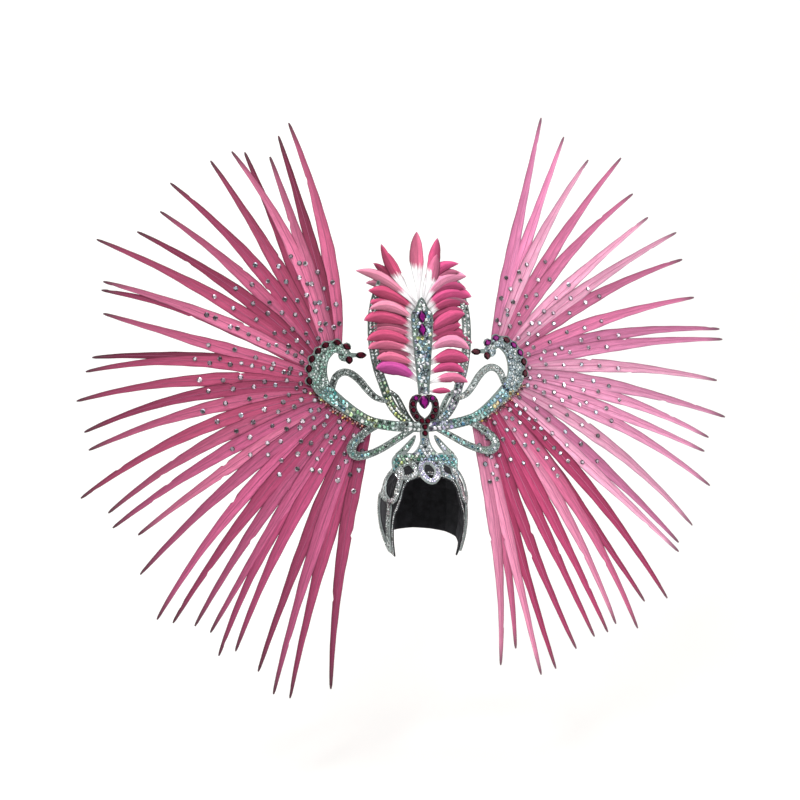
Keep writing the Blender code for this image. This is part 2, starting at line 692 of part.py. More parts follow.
def make_bow_loop(name, side):
    rows = wing_rows(side, BOW_LOOP_ROUTE, LOOP_WIDTH)
    bow = front_plate(f"bow_loop_{name}", [band_outline(rows)], side)
    swan = cutter([band_outline(swan_rows(side), SEAT_GAP)], side)
    combine(bow, [swan, stalk_cutter(), heart_cutter()], "DIFFERENCE")
    return finish(set_in_place(bow), (0.40, 0.60, 0.55), 0.3, 0.5)


def make_wing_loop(name, side):
    rows = wing_rows(side, WING_LOOP_ROUTE, LOOP_WIDTH)
    loop = backing_plate(f"wing_loop_{name}", [band_outline(rows, pointed=True)], side)
    return finish(set_in_place(loop), (0.36, 0.50, 0.46), 0.3, 0.5)


def make_lyre(name, side):
    main = band_rows(LYRE_ROUTE, LYRE_HALF_SPAN, LYRE_RISE, LYRE_WIDTH)
    prong = band_rows(LYRE_PRONG, LYRE_HALF_SPAN, LYRE_RISE, LYRE_WIDTH)
    behind = BACKING_THICKNESS + SEAT_GAP
    lyre = backing_plate(f"lyre_{name}", [band_outline(main, pointed=True)], side, behind)
    inner = backing_plate("prong", [band_outline(prong)], side, behind + FUSE_STEP)
    combine(lyre, [inner], "UNION")
    return finish(set_in_place(lyre), (0.55, 0.62, 0.60), 0.3, 0.5)


def backing_stretch(rows, start, end, steps):
    """The part of a route between two distances from its start, with the backing's width."""
    total = route_length(rows)
    reach = end - start
    places = [along_route(rows, (start + reach * step / steps) / total) for step in range(steps + 1)]
    return [(place.x, place.y, BACKING_WIDTH / 2) for place in places]


def make_hub_plate():
    """A cross bar behind the swans' inner ends and a stem behind the foot."""
    left, right = [backing_stretch(swan_rows(side), 0.0, HUB_REACH, 5) for side in SIDES.values()]
    mirrored = [(-row[0], row[1], row[2]) for row in left[::-1]]
    bar = backing_plate("hub_plate", [band_outline(mirrored + [(0.0, 0.0, BACKING_WIDTH / 2)] + right)])
    stem_rows = [(0.0, 0.0, STALK_HALF_WIDTH), (0.0, -HUB_STEM, STALK_HALF_WIDTH)]
    stem = backing_plate("stem", [band_outline(stem_rows)], 1, -FUSE_STEP / 2)
    combine(bar, [stem], "UNION")
    return finish(set_in_place(bar), (0.80, 0.80, 0.80), 0.6)


# Feathers

def feather(root, tip, bow, table, width, thickness, layer):
    """A vane with a raised middle, lofted along a bowed route from root to tip."""
    start, end = Vector(root), Vector(tip)
    chord = end - start
    normal = Vector((-chord.y, chord.x)) * bow
    sections = []
    for share, wide, thick in table:
        slope = chord + normal * 4 * (1 - 2 * share)
        centre = start + chord * share + normal * 4 * share * (1 - share)
        reach = Vector((-slope.y, slope.x)).normalized() * wide * width / 2
        depth = thick * thickness / 2
        left, right = centre + reach, centre - reach
        sections.append([
            (left.x, layer + depth, HUB_HEIGHT + left.y),
            (centre.x, layer - depth, HUB_HEIGHT + centre.y),
            (right.x, layer + depth, HUB_HEIGHT + right.y),
        ])
    return loft("feather", sections, closed=False)


def layer_depth(index, layers):
    """The middle of a feather's layer inside the backing."""
    return BACKING_THICKNESS * (2 * (index % layers) + 1) / (2 * layers)


def route_length(rows):
    return sum(math.hypot(b[0] - a[0], b[1] - a[1]) for a, b in zip(rows, rows[1:]))


def along_route(rows, share):
    """A point at a share of a route's length."""
    places = [Vector((row[0], row[1])) for row in rows]
    lengths = [(b - a).length for a, b in zip(places, places[1:])]
    left = share * sum(lengths)
    for a, b, length in zip(places, places[1:], lengths):
        if left <= length:
            return a + (b - a) * (left / length)
        left -= length
    return places[-1]


def make_fan(name, side, table):
    route = swan_rows(side)
    carried = backing_stretch(route, HUB_REACH + BACKING_GAP, route_length(route), 16)
    fan = backing_plate(f"fan_{name}", [band_outline(carried)], side)
    first, last = FAN_ROOTS
    vanes = []
    for index, (angle, reach, bow) in enumerate(table):
        share = first + (last - first) * index / (len(table) - 1)
        root = along_route(route, share)
        turn = math.radians(angle)
        tip = Vector((math.cos(turn), math.sin(turn))) * reach * FAN_REACH
        place = layer_depth(index, FAN_LAYERS)
        vanes.append(feather((side * root.x, root.y), (side * tip.x, tip.y), side * bow, FAN_VANE,
                             FEATHER_WIDTH, FEATHER_THICKNESS, place))
    combine(fan, vanes, "UNION")
    return finish(set_in_place(fan), (0.62, 0.05, 0.16), 0.6)


def make_crest(name, side, table):
    middle = SEAT_GAP / 2 + BACKING_WIDTH / 4
    height = SPIRE_TOP - SPIRE_BASE
    low, high = SPIRE_BASE - HEART_BAND_WIDTH, SPIRE_TOP - SPIRE_END_GAP
    half = BACKING_WIDTH / 4 - SEAT_GAP / 2
    outline = band_outline([(middle, low, half), (middle, high, half)])
    strip = backing_plate(f"crest_feathers_{name}", [outline], side)
    vanes = []
    for index, (root_up, out, up, bow, wide) in enumerate(table):
        root = (side * middle, SPIRE_BASE + root_up * height)
        tip = (side * out * CREST_RISE, up * CREST_RISE)
        place = layer_depth(index, CREST_LAYERS)
        vanes.append(feather(root, tip, -side * bow, CREST_VANE, wide * CREST_WIDTH,
                             FEATHER_THICKNESS, place))
    combine(strip, vanes, "UNION")
    return finish(set_in_place(strip), (0.70, 0.12, 0.25), 0.6)


# Stones

def stone_outline(kind, turn):
    """A point of the stone's outline for a turn, as shares of half length and half width."""
    out, up = math.cos(turn), math.sin(turn)
    if kind == "navette" or kind == "pear" and out > 0:
        up *= abs(up) ** 0.8
    return out, up


def cut_stone(name, kind, size, centre, turn, colour):
    """A flat-backed stone with a table, set on the front of a band."""
    form = bmesh.new()
    bmesh.ops.create_cone(form, cap_ends=True, segments=STONE_SIDES, radius1=1.0, radius2=1.0,
                          depth=STONE_HEIGHT)
    for vert in form.verts:
        out, up = stone_outline(kind, math.atan2(vert.co.y, vert.co.x) + math.pi / STONE_SIDES)
        share = TABLE_SHARE if vert.co.z > 0 else 1.0
        vert.co.x = out * share * size[0] / 2
        vert.co.y = up * share * size[1] / 2
    turned = Matrix.Rotation(math.pi / 2, 4, "X") @ Matrix.Rotation(math.radians(turn), 4, "Z")
    front = -2 * SEAT_GAP - BAND_THICKNESS - STONE_HEIGHT / 2
    place = Matrix.Translation((centre[0], front, HUB_HEIGHT + centre[1]))
    bmesh.ops.transform(form, matrix=place @ turned, verts=form.verts)
    mesh = bpy.data.meshes.new(name)
    form.to_mesh(mesh)
    form.free()
    return finish(set_in_place(place_object(name, mesh)), colour, 0.08)


RUBY = (0.10, 0.004, 0.025)
AMETHYST = (0.22, 0.01, 0.18)


def make_heart_stones():
    round_size = (ROUND_STONE, ROUND_STONE)
    places = []
    for side in SIDES.values():
        for out, up in HEART_STONES:
            places.append((side * out * HEART_HALF_WIDTH, HEART_BASE + up * HEART_HEIGHT))
    places += [(0.0, up) for up in STALK_STONES]
    for number, place in enumerate(places, 1):
        cut_stone(f"heart_stone_{number:02d}", "round", round_size, place, 0.0, RUBY)
    cut_stone("heart_pear", "pear", HEART_PEAR, (0.0, HEART_BASE + 0.84 * HEART_HEIGHT), -90.0, AMETHYST)


def make_spire_stones():
    for number, up in enumerate(SPIRE_STONES, 1):
        place = (0.0, SPIRE_BASE + up * (SPIRE_TOP - SPIRE_BASE))
        cut_stone(f"spire_stone_{number}", "navette", SPIRE_NAVETTE, place, 90.0, AMETHYST)


def make_swan_stones(name, side):
    def set_stone(stone, kind, size, out, up, turn):
        place = wing_place(side, out, up)
        cut_stone(stone, kind, size, (side * place.x, place.y), turn + math.degrees(WING_ROLL), RUBY)

    for number, (out, up, turn) in enumerate(SWAN_STONES, 1):
        set_stone(f"swan_stone_{name}_{number}", "navette", SWAN_NAVETTE, out, up, side * turn)
    beak = BEAK_ROUTE[-1]
    pointing = 180.0 if side > 0 else 0.0
    set_stone(f"beak_stone_{name}", "pear", BEAK_NAVETTE, beak[0], beak[1], pointing)
    set_stone(f"cheek_stone_{name}", "pear", CHEEK_PEAR, *CHEEK_CENTRE, -90.0)


make_cap()
make_brow_loop()
make_heart()
make_foot()
make_spire()
make_hub_plate()
for side_name, side_sign in SIDES.items():
    make_scrollwork(side_name, side_sign)
    make_swan(side_name, side_sign)
    make_bow_loop(side_name, side_sign)
    make_wing_loop(side_name, side_sign)
    make_lyre(side_name, side_sign)
    make_swan_stones(side_name, side_sign)
make_fan("left", -1, FAN_LEFT)
make_fan("right", 1, FAN_RIGHT)
make_crest("left", -1, CREST_LEFT)
make_crest("right", 1, CREST_RIGHT)
make_heart_stones()
make_spire_stones()
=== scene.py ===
import math

import bmesh
import bpy
import numpy as np
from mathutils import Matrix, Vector


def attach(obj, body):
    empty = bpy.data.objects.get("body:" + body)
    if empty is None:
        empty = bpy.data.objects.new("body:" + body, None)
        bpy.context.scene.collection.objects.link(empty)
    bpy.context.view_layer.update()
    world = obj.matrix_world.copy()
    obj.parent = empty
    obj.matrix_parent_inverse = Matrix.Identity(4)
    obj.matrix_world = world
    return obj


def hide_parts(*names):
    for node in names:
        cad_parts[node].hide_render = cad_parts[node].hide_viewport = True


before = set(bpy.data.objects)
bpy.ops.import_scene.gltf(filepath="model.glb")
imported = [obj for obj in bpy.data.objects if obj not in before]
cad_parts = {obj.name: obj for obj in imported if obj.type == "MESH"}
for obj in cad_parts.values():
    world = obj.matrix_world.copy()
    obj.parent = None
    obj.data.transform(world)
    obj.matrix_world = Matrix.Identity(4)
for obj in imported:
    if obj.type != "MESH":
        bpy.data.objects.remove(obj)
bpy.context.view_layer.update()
print("frame loaded")

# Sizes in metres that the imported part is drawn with, so that each piece here lies where its solid lies
drawing = {
    "hubHeight": 0.065,
    "frameForward": 0.022,
    "lean": math.radians(7.0),
    "sweep": math.radians(9.0),
    "flatHalfWidth": 0.032,
    "bandFront": -0.0063,        # front of the bands
    "backingFront": 0.0,         # front of the wing loops and of the strips that the feathers are tied to
    "lyreFront": 0.0068,
    "wingHalfSpan": 0.214,
    "wingRise": 0.177,
    "wingRoll": math.radians(2.1),   # swans and loops stand turned about the hub, the right side higher
    "footHalfWidth": 0.064,
    "spireBase": 0.062,
    "spireHeight": 0.1805,
    "lyreHalfWidth": 0.091,
    "lyreHeight": 0.280,
}

headForm = {
    "halfWidth": 0.080,
    "halfDepth": 0.098,
    "crownDepth": 0.095,
    "fullness": (2.8, 2.1),
    "cheekDepth": 0.177,
    "jawTaper": 0.225,
    "napeTaper": 0.10,
    "wall": 0.002,
    "clearance": 0.0006,
}

sides = {"left": -1, "right": 1}


# Tools for the drawing

def deselectAll():
    if bpy.context.mode != "OBJECT":
        bpy.ops.object.mode_set(mode="OBJECT")
    for thing in list(bpy.context.selected_objects):
        thing.select_set(False)


def smoothRows(rows, steps, closed=False):
    points = [np.array(row, float) for row in rows]
    count = len(points)
    result = []
    for index in range(count if closed else count - 1):
        start, end = points[index], points[(index + 1) % count]
        before = points[index - 1] if closed or index > 0 else 2 * start - end
        after = points[(index + 2) % count] if closed or index + 2 < count else 2 * end - start
        for step in range(steps):
            t = step / steps
            bend = (2 * before - 5 * start + 4 * end - after) * t * t
            twist = (3 * start - before - 3 * end + after) * t ** 3
            result.append(0.5 * (2 * start + (end - before) * t + bend + twist))
    if not closed:
        result.append(points[-1])
    return np.array(result)


def bandRows(route):
    # out, up and half width in metres from the hub
    span, rise, width = route["span"], route["rise"], route["width"]
    return smoothRows([(out * span, up * rise, half * width) for out, up, half in route["rows"]], 6)


def rolled(side, places):
    # places of a wing, drawn on the right, after the turn about the hub of its own side
    places = np.array(places, float)
    turn = side * drawing["wingRoll"]
    out, up = places[..., 0].copy(), places[..., 1].copy()
    places[..., 0] = out * math.cos(turn) - up * math.sin(turn)
    places[..., 1] = out * math.sin(turn) + up * math.cos(turn)
    return places


def wingRows(name, side):
    return rolled(side, bandRows(bands[name]))


def wingPlace(side, out, up):
    return rolled(side, (out * drawing["wingHalfSpan"], up * drawing["wingRise"]))


def acrossRows(rows, closed=False):
    # unit vectors to the left of a route's direction
    places = rows[:, :2]
    if closed:
        along = np.roll(places, -1, axis=0) - np.roll(places, 1, axis=0)
    else:
        along = np.gradient(places, axis=0)
    along = along / np.linalg.norm(along, axis=1, keepdims=True)
    return np.stack([-along[:, 1], along[:, 0]], axis=1)


def bandOutline(rows, grow=0.0, pointed=False):
    reach = acrossRows(rows) * (rows[:, 2:3] + grow)
    left, right = rows[:, :2] + reach, rows[:, :2] - reach
    if pointed:
        along = rows[-1, :2] - rows[-2, :2]
        tip = rows[-1, :2] + along / np.linalg.norm(along) * (rows[-1, 2] + grow)
        left = np.vstack([left, tip])
    return np.vstack([left, right[::-1]])


def ringOutlines(rows):
    reach = acrossRows(rows, True) * rows[:, 2:3]
    return rows[:, :2] + reach, rows[:, :2] - reach


def discOutline(centre, radius, count=16):
    turns = np.arange(count) * 2 * math.pi / count
    return np.stack([centre[0] + radius * np.cos(turns), centre[1] + radius * np.sin(turns)], axis=1)


def isInside(outline, x, z):
    ahead = np.roll(outline, -1, axis=0)
    crosses = (outline[:, 1] > z) != (ahead[:, 1] > z)
    rise = np.where(ahead[:, 1] == outline[:, 1], 1e-12, ahead[:, 1] - outline[:, 1])
    meets = outline[:, 0] + (z - outline[:, 1]) / rise * (ahead[:, 0] - outline[:, 0])
    return bool(np.count_nonzero(crosses & (x < meets)) % 2)


def routeLength(rows):
    return float(np.linalg.norm(np.diff(rows[:, :2], axis=0), axis=1).sum())


def alongRoute(rows, shares):
    # places and half widths at shares of a route's length
    lengths = pathLengths(rows[:, :2])
    wanted = np.asarray(shares) * lengths[-1]
    return np.stack([np.interp(wanted, lengths, rows[:, column]) for column in range(3)], axis=-1)


def inPlace(points):
    # from the flat front view, with heights from the hub, to the leaning and swept back frame
    points = np.array(points, float)
    points[:, 2] += drawing["hubHeight"]
    swept = np.maximum(0.0, np.abs(points[:, 0]) - drawing["flatHalfWidth"])
    lean, sweep = math.tan(drawing["lean"]), math.tan(drawing["sweep"])
    points[:, 1] += sweep * swept + lean * points[:, 2] - drawing["frameForward"]
    return points


def headRadii(depth):
    if depth <= headForm["crownDepth"]:
        above = 1.0 - depth / headForm["crownDepth"]
        wide, deep = [(1.0 - above ** fullness) ** (1 / fullness) for fullness in headForm["fullness"]]
        return headForm["halfWidth"] * wide, headForm["halfDepth"] * deep
    drop = (depth - headForm["crownDepth"]) / (headForm["cheekDepth"] - headForm["crownDepth"])
    narrow = 1 - headForm["jawTaper"] * drop ** 2
    return headForm["halfWidth"] * narrow, headForm["halfDepth"] * (1 - headForm["napeTaper"] * drop ** 2)


def headPoint(longitude, depth):
    halfWidth, halfDepth = headRadii(depth)
    angle = math.radians(longitude)
    return Vector((halfWidth * math.sin(angle), -halfDepth * math.cos(angle), -depth))


def headNormal(longitude, depth):
    step = 1e-4
    around = headPoint(longitude + 0.5, depth) - headPoint(longitude - 0.5, depth)
    down = headPoint(longitude, depth + step) - headPoint(longitude, depth - step)
    return down.cross(around).normalized()


def capPoint(longitude, depth, lift):
    return headPoint(longitude, depth) + headNormal(longitude, depth) * lift


# Tools for materials

def linearHex(code, alpha=1.0):
    channels = [int(code[start:start + 2], 16) / 255 for start in (1, 3, 5)]
    return tuple(c / 12.92 if c <= 0.04045 else ((c + 0.055) / 1.055) ** 2.4 for c in channels) + (alpha,)


def addNode(tree, kind, settings=None, links=None):
    node = tree.nodes.new(kind)
    for name, value in (settings or {}).items():
        if isinstance(name, str) and hasattr(node, name):
            setattr(node, name, value)
        else:
            node.inputs[name].default_value = value
    for name, socket in (links or {}).items():
        tree.links.new(socket, node.inputs[name])
    return node


def newMaterial(name, settings):
    material = bpy.data.materials.new(name)
    material.use_nodes = True
    shader = material.node_tree.nodes["Principled BSDF"]
    for socket, value in settings.items():
        shader.inputs[socket].default_value = value
    return material, material.node_tree, shader


def fillRamp(node, stops):
    ramp = node.color_ramp
    while len(ramp.elements) > 1:
        ramp.elements.remove(ramp.elements[-1])
    ramp.elements[0].position, ramp.elements[0].color = stops[0]
    for position, colour in stops[1:]:
        ramp.elements.new(position).color = colour


def dress(node, material):
    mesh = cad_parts[node].data
    mesh.materials.clear()
    mesh.materials.append(material)


# Tools for meshes

def meshPiece(name, points, faces, material, uv=None, tint=None, smooth=True):
    # uv has a row for each point, tint has a colour for each point or for each face
    mesh = bpy.data.meshes.new(name)
    mesh.from_pydata(np.asarray(points).tolist(), [], faces)
    corners = np.empty(len(mesh.loops), int)
    mesh.loops.foreach_get("vertex_index", corners)
    if uv is not None:
        layer = mesh.uv_layers.new(name="featherMap")
        layer.data.foreach_set("uv", np.asarray(uv)[corners].ravel())
    if tint is not None:
        colours = np.asarray(tint)
        if len(colours) == len(mesh.polygons) and len(colours) != len(mesh.vertices):
            sizes = np.empty(len(mesh.polygons), int)
            mesh.polygons.foreach_get("loop_total", sizes)
            colours = np.repeat(colours, sizes, axis=0)
        else:
            colours = colours[corners]
        layer = mesh.color_attributes.new(name="tint", type="FLOAT_COLOR", domain="CORNER")
        layer.data.foreach_set("color", colours.ravel())
    mesh.polygons.foreach_set("use_smooth", [smooth] * len(mesh.polygons))
    mesh.materials.append(material)
    piece = bpy.data.objects.new(name, mesh)
    bpy.context.scene.collection.objects.link(piece)
    return piece


def settle(piece, replaced=()):
    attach(piece, "root")
    if replaced:
        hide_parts(*replaced)
    return piece


def movedFaces(faces, start):
    return [tuple(corner + start for corner in face) for face in faces]


def pathLengths(path):
    # distance along a row of points up to each of them
    return np.concatenate([[0.0], np.cumsum(np.linalg.norm(np.diff(path, axis=0), axis=1))])


def meshArrays(thing):
    mesh = thing.data
    points = np.empty(len(mesh.vertices) * 3)
    mesh.vertices.foreach_get("co", points)
    faces = [tuple(face.vertices) for face in mesh.polygons]
    bpy.data.objects.remove(thing, do_unlink=True)
    return points.reshape(-1, 3), faces


def wireAlong(name, loops, radius, material):
    # fine round wire or piping round closed rows of points
    curve = bpy.data.curves.new(name, "CURVE")
    curve.dimensions = "3D"
    curve.bevel_depth = radius
    curve.bevel_resolution = 1
    for loop in loops:
        spline = curve.splines.new("POLY")
        spline.points.add(len(loop) - 1)
        spline.use_cyclic_u = True
        for point, place in zip(spline.points, loop):
            point.co = (*place, 1.0)
    piece = bpy.data.objects.new(name, curve)
    bpy.context.scene.collection.objects.link(piece)
    deselectAll()
    piece.select_set(True)
    bpy.context.view_layer.objects.active = piece
    bpy.ops.object.convert(target="MESH")
    bpy.ops.object.shade_smooth()
    piece = bpy.context.view_layer.objects.active
    piece.data.materials.clear()
    piece.data.materials.append(material)
    return settle(piece)


# Routes of the bands: out and up as shares of span and rise, half width as a share of width
bands = {
    "swan": {
        "span": drawing["wingHalfSpan"], "rise": drawing["wingRise"], "width": 0.036,
        "rows": [
            (0.035, 0.000, 0.27), (0.150, 0.010, 0.27), (0.280, 0.023, 0.27), (0.467, 0.073, 0.27),
            (0.600, 0.164, 0.29), (0.715, 0.270, 0.34), (0.818, 0.378, 0.40), (0.893, 0.490, 0.47),
            (0.916, 0.633, 0.50), (0.885, 0.780, 0.46), (0.815, 0.870, 0.39), (0.745, 0.895, 0.32),
            (0.690, 0.860, 0.28),
        ],
    },
    "beak": {
        "span": drawing["wingHalfSpan"], "rise": drawing["wingRise"], "width": 0.010,
        "rows": [(0.668, 0.795, 0.50), (0.590, 0.797, 0.46), (0.525, 0.793, 0.25)],
    },
    "wingLoop": {
        "span": drawing["wingHalfSpan"], "rise": drawing["wingRise"], "width": 0.0135,
        "rows": [
            (0.792, 0.440, 0.42), (0.780, 0.500, 0.46), (0.752, 0.572, 0.50), (0.696, 0.616, 0.50),
            (0.628, 0.606, 0.50), (0.550, 0.530, 0.50), (0.488, 0.430, 0.48), (0.425, 0.345, 0.44),
            (0.362, 0.305, 0.38), (0.318, 0.292, 0.26),
        ],
    },
    "bowLoop": {
        "span": drawing["wingHalfSpan"], "rise": drawing["wingRise"], "width": 0.0135,
        "rows": [
            (0.410, 0.045, 0.50), (0.490, -0.005, 0.50), (0.572, -0.075, 0.52), (0.640, -0.155, 0.60),
            (0.658, -0.228, 0.64), (0.612, -0.282, 0.58), (0.510, -0.270, 0.50), (0.383, -0.208, 0.48),
            (0.262, -0.124, 0.46), (0.150, -0.045, 0.44), (0.100, -0.010, 0.40),
        ],
    },
    "lyre": {
        "span": drawing["lyreHalfWidth"], "rise": drawing["lyreHeight"], "width": 0.015,
        "rows": [
            (0.240, 0.015, 0.50), (0.515, 0.085, 0.54), (0.700, 0.175, 0.56), (0.815, 0.285, 0.56),
            (0.930, 0.400, 0.56), (1.010, 0.555, 0.56), (1.020, 0.715, 0.56), (0.970, 0.860, 0.48),
            (0.870, 1.000, 0.20),
        ],
    },
    "lyreProng": {
        "span": drawing["lyreHalfWidth"], "rise": drawing["lyreHeight"], "width": 0.015,
        "rows": [
            (0.240, 0.025, 0.36), (0.350, 0.075, 0.36), (0.445, 0.140, 0.34), (0.550, 0.205, 0.30),
            (0.690, 0.245, 0.20),
        ],
    },
    "spire": {
        "span": 0.0, "rise": drawing["spireHeight"], "width": 0.042,
        "rows": [
            (0.0, 0.00, 0.25), (0.0, 0.08, 0.27), (0.0, 0.26, 0.335), (0.0, 0.44, 0.40),
            (0.0, 0.62, 0.46), (0.0, 0.80, 0.51), (0.0, 0.87, 0.46), (0.0, 0.91, 0.32),
            (0.0, 0.95, 0.23), (0.0, 1.00, 0.15),
        ],
    },
    "stalk": {
        "span": drawing["footHalfWidth"], "rise": drawing["hubHeight"], "width": 0.0075,
        "rows": [
            (0.0, 0.06, 1.0), (0.0, -0.19, 1.0), (0.0, -0.37, 1.15), (0.0, -0.56, 1.70),
            (0.0, -0.72, 2.75), (0.0, -0.84, 4.30),
        ],
    },
    "leaf": {
        "span": drawing["footHalfWidth"], "rise": drawing["hubHeight"], "width": 0.013,
        "rows": [
            (0.83, -0.86, 0.50), (0.66, -0.71, 0.50), (0.51, -0.55, 0.46), (0.39, -0.40, 0.36),
            (0.30, -0.26, 0.14),
        ],
    },
}

swanHead = (0.668, 0.800)        # centre of the head, out and up

footTop = {
    "span": drawing["footHalfWidth"], "rise": drawing["hubHeight"], "drop": 0.095,
    "covers": (-0.0095, 0.0049),     # before and behind the middle of the frame, as seen from the cap
    "rows": [
        (0.00, -0.74), (0.40, -0.76), (0.72, -0.74), (0.89, -0.80), (0.99, -0.93), (1.00, -1.12),
        (0.95, -1.40),
    ],
}

heartRing = {
    "halfWidth": 0.022, "base": 0.007, "height": 0.0475, "band": 0.0142,
    "rows": [
        (0.00, 0.86), (0.40, 1.00), (0.80, 0.97), (1.00, 0.77), (0.97, 0.52), (0.70, 0.27),
        (0.28, 0.09), (0.00, 0.00),
    ],
}


def heartRows():
    wide, base, high, band = [heartRing[key] for key in ("halfWidth", "base", "height", "band")]
    half = [(out * wide, base + up * high, band / 2) for out, up in heartRing["rows"]]
    mirrored = [(-out, up, width) for out, up, width in half[-2:0:-1]]
    return smoothRows(half + mirrored, 6, closed=True)


def footBarOutline():
    rows = [(out * footTop["span"], up * footTop["rise"]) for out, up in footTop["rows"]]
    top = smoothRows(rows, 4)
    mirrored = top[:0:-1] * np.array([-1, 1])
    low = footTop["rows"][-1][0] * footTop["span"]
    return np.vstack([mirrored, top, [(low, -footTop["drop"]), (-low, -footTop["drop"])]])


def spireRows():
    rows = bandRows(bands["spire"])
    rows[:, 1] += drawing["spireBase"]
    return rows


swanRows = {side: wingRows("swan", side) for side in sides.values()}
swanOutline = {side: bandOutline(rows) for side, rows in swanRows.items()}
heartOuter, heartInner = ringOutlines(heartRows())
stalkOutline = bandOutline(bandRows(bands["stalk"]))


# Materials

def feltMaterial():
    # wool felt, pressed and steamed over a block: deep black, short fuzz, no gloss
    material, tree, shader = newMaterial("woolFelt", {
        "Roughness": 0.95, "Specular IOR Level": 0.2, "Sheen Weight": 0.35, "Sheen Roughness": 0.5,
        "Sheen Tint": linearHex("#8a8a90"),
    })
    place = addNode(tree, "ShaderNodeTexCoord").outputs["Object"]
    fibres = addNode(tree, "ShaderNodeTexNoise", {"Scale": 900.0, "Detail": 4.0, "Roughness": 0.7},
                     {"Vector": place})
    patches = addNode(tree, "ShaderNodeTexNoise", {"Scale": 60.0, "Detail": 3.0}, {"Vector": place})
    mixed = addNode(tree, "ShaderNodeMath", {"operation": "MULTIPLY"},
                    {0: fibres.outputs["Fac"], 1: patches.outputs["Fac"]})
    ramp = addNode(tree, "ShaderNodeValToRGB", links={"Fac": mixed.outputs[0]})
    fillRamp(ramp, [(0.12, linearHex("#0b0b0d")), (0.42, linearHex("#2b2b2f"))])
    tree.links.new(ramp.outputs["Color"], shader.inputs["Base Color"])
    bump = addNode(tree, "ShaderNodeBump", {"Strength": 0.6, "Distance": 0.0006},
                   {"Height": fibres.outputs["Fac"]})
    tree.links.new(bump.outputs["Normal"], shader.inputs["Normal"])
    return material


def mirrorCardMaterial(name, front, edge, back="#1b1b1d"):
    # mirrored craft board, cut and painted: bright foil in front, cut edge, black felt behind
    material, tree, shader = newMaterial(name, {"Roughness": 0.32, "Specular IOR Level": 0.5})
    place = addNode(tree, "ShaderNodeTexCoord").outputs["Object"]
    normal = addNode(tree, "ShaderNodeNewGeometry").outputs["Normal"]
    facing = addNode(tree, "ShaderNodeSeparateXYZ", links={"Vector": normal}).outputs["Y"]
    grain = addNode(tree, "ShaderNodeTexNoise", {"Scale": 420.0, "Detail": 3.0},
                    {"Vector": place}).outputs["Fac"]
    turned = addNode(tree, "ShaderNodeMath", {"operation": "MULTIPLY_ADD", 1: 0.5, 2: 0.5}, {0: facing})
    ramp = addNode(tree, "ShaderNodeValToRGB", links={"Fac": turned.outputs[0]})
    ramp.color_ramp.interpolation = "CONSTANT"
    fillRamp(ramp, [(0.0, linearHex(front)), (0.18, linearHex(edge)), (0.82, linearHex(back))])
    flecks = addNode(tree, "ShaderNodeMapRange",
                     {"From Min": 0.3, "From Max": 0.7, "To Min": 0.6, "To Max": 1.25}, {"Value": grain})
    tinted = addNode(tree, "ShaderNodeVectorMath", {"operation": "SCALE"},
                     {0: ramp.outputs["Color"], "Scale": flecks.outputs[0]})
    tree.links.new(tinted.outputs[0], shader.inputs["Base Color"])
    shine = addNode(tree, "ShaderNodeMapRange",
                    {"From Min": -0.82, "From Max": -0.6, "To Min": 0.35, "To Max": 0.0}, {"Value": facing})
    tree.links.new(shine.outputs[0], shader.inputs["Metallic"])
    bump = addNode(tree, "ShaderNodeBump", {"Strength": 0.25, "Distance": 0.0003}, {"Height": grain})
    tree.links.new(bump.outputs["Normal"], shader.inputs["Normal"])
    return material


def crystalMaterial(name, metallic, roughness):
    # foil backed lead crystal, cut and polished: its colour comes from the tint of each facet, which holds
    # the stone's colour with painted reflections
    material, tree, shader = newMaterial(name, {
        "Metallic": metallic, "Roughness": roughness, "IOR": 1.54, "Specular IOR Level": 0.8,
        "Coat Weight": 0.25, "Coat Roughness": 0.03,
    })
    tint = addNode(tree, "ShaderNodeAttribute", {"attribute_name": "tint"}).outputs["Color"]
    tree.links.new(tint, shader.inputs["Base Color"])
    return material


def gemMaterial(name, deep, lit):
    # pressed and polished glass with foil behind it, with painted light by which way each facet faces: nearly
    # black where facets turn away, painted wine red as if lit between
    material, tree, shader = newMaterial(name, {
        "Roughness": 0.18, "IOR": 1.54, "Specular IOR Level": 0.12,
    })
    place = addNode(tree, "ShaderNodeTexCoord").outputs["Object"]
    normal = addNode(tree, "ShaderNodeNewGeometry").outputs["True Normal"]
    split = addNode(tree, "ShaderNodeSeparateXYZ", links={"Vector": normal})
    # painted light: the colour follows which way each facet faces, with some noise
    slant = addNode(tree, "ShaderNodeMath", {"operation": "MULTIPLY_ADD", 1: 0.45},
                    {0: split.outputs["Z"], 2: split.outputs["X"]})
    depth = addNode(tree, "ShaderNodeTexNoise", {"Scale": 160.0, "Detail": 1.0},
                    {"Vector": place}).outputs["Fac"]
    total = addNode(tree, "ShaderNodeMath", {"operation": "ADD"}, {0: slant.outputs[0], 1: depth})
    ramp = addNode(tree, "ShaderNodeValToRGB", links={"Fac": total.outputs[0]})
    fillRamp(ramp, [(0.15, linearHex(deep)), (0.62, linearHex(lit)), (0.95, linearHex(deep))])
    tree.links.new(ramp.outputs["Color"], shader.inputs["Base Color"])
    return material


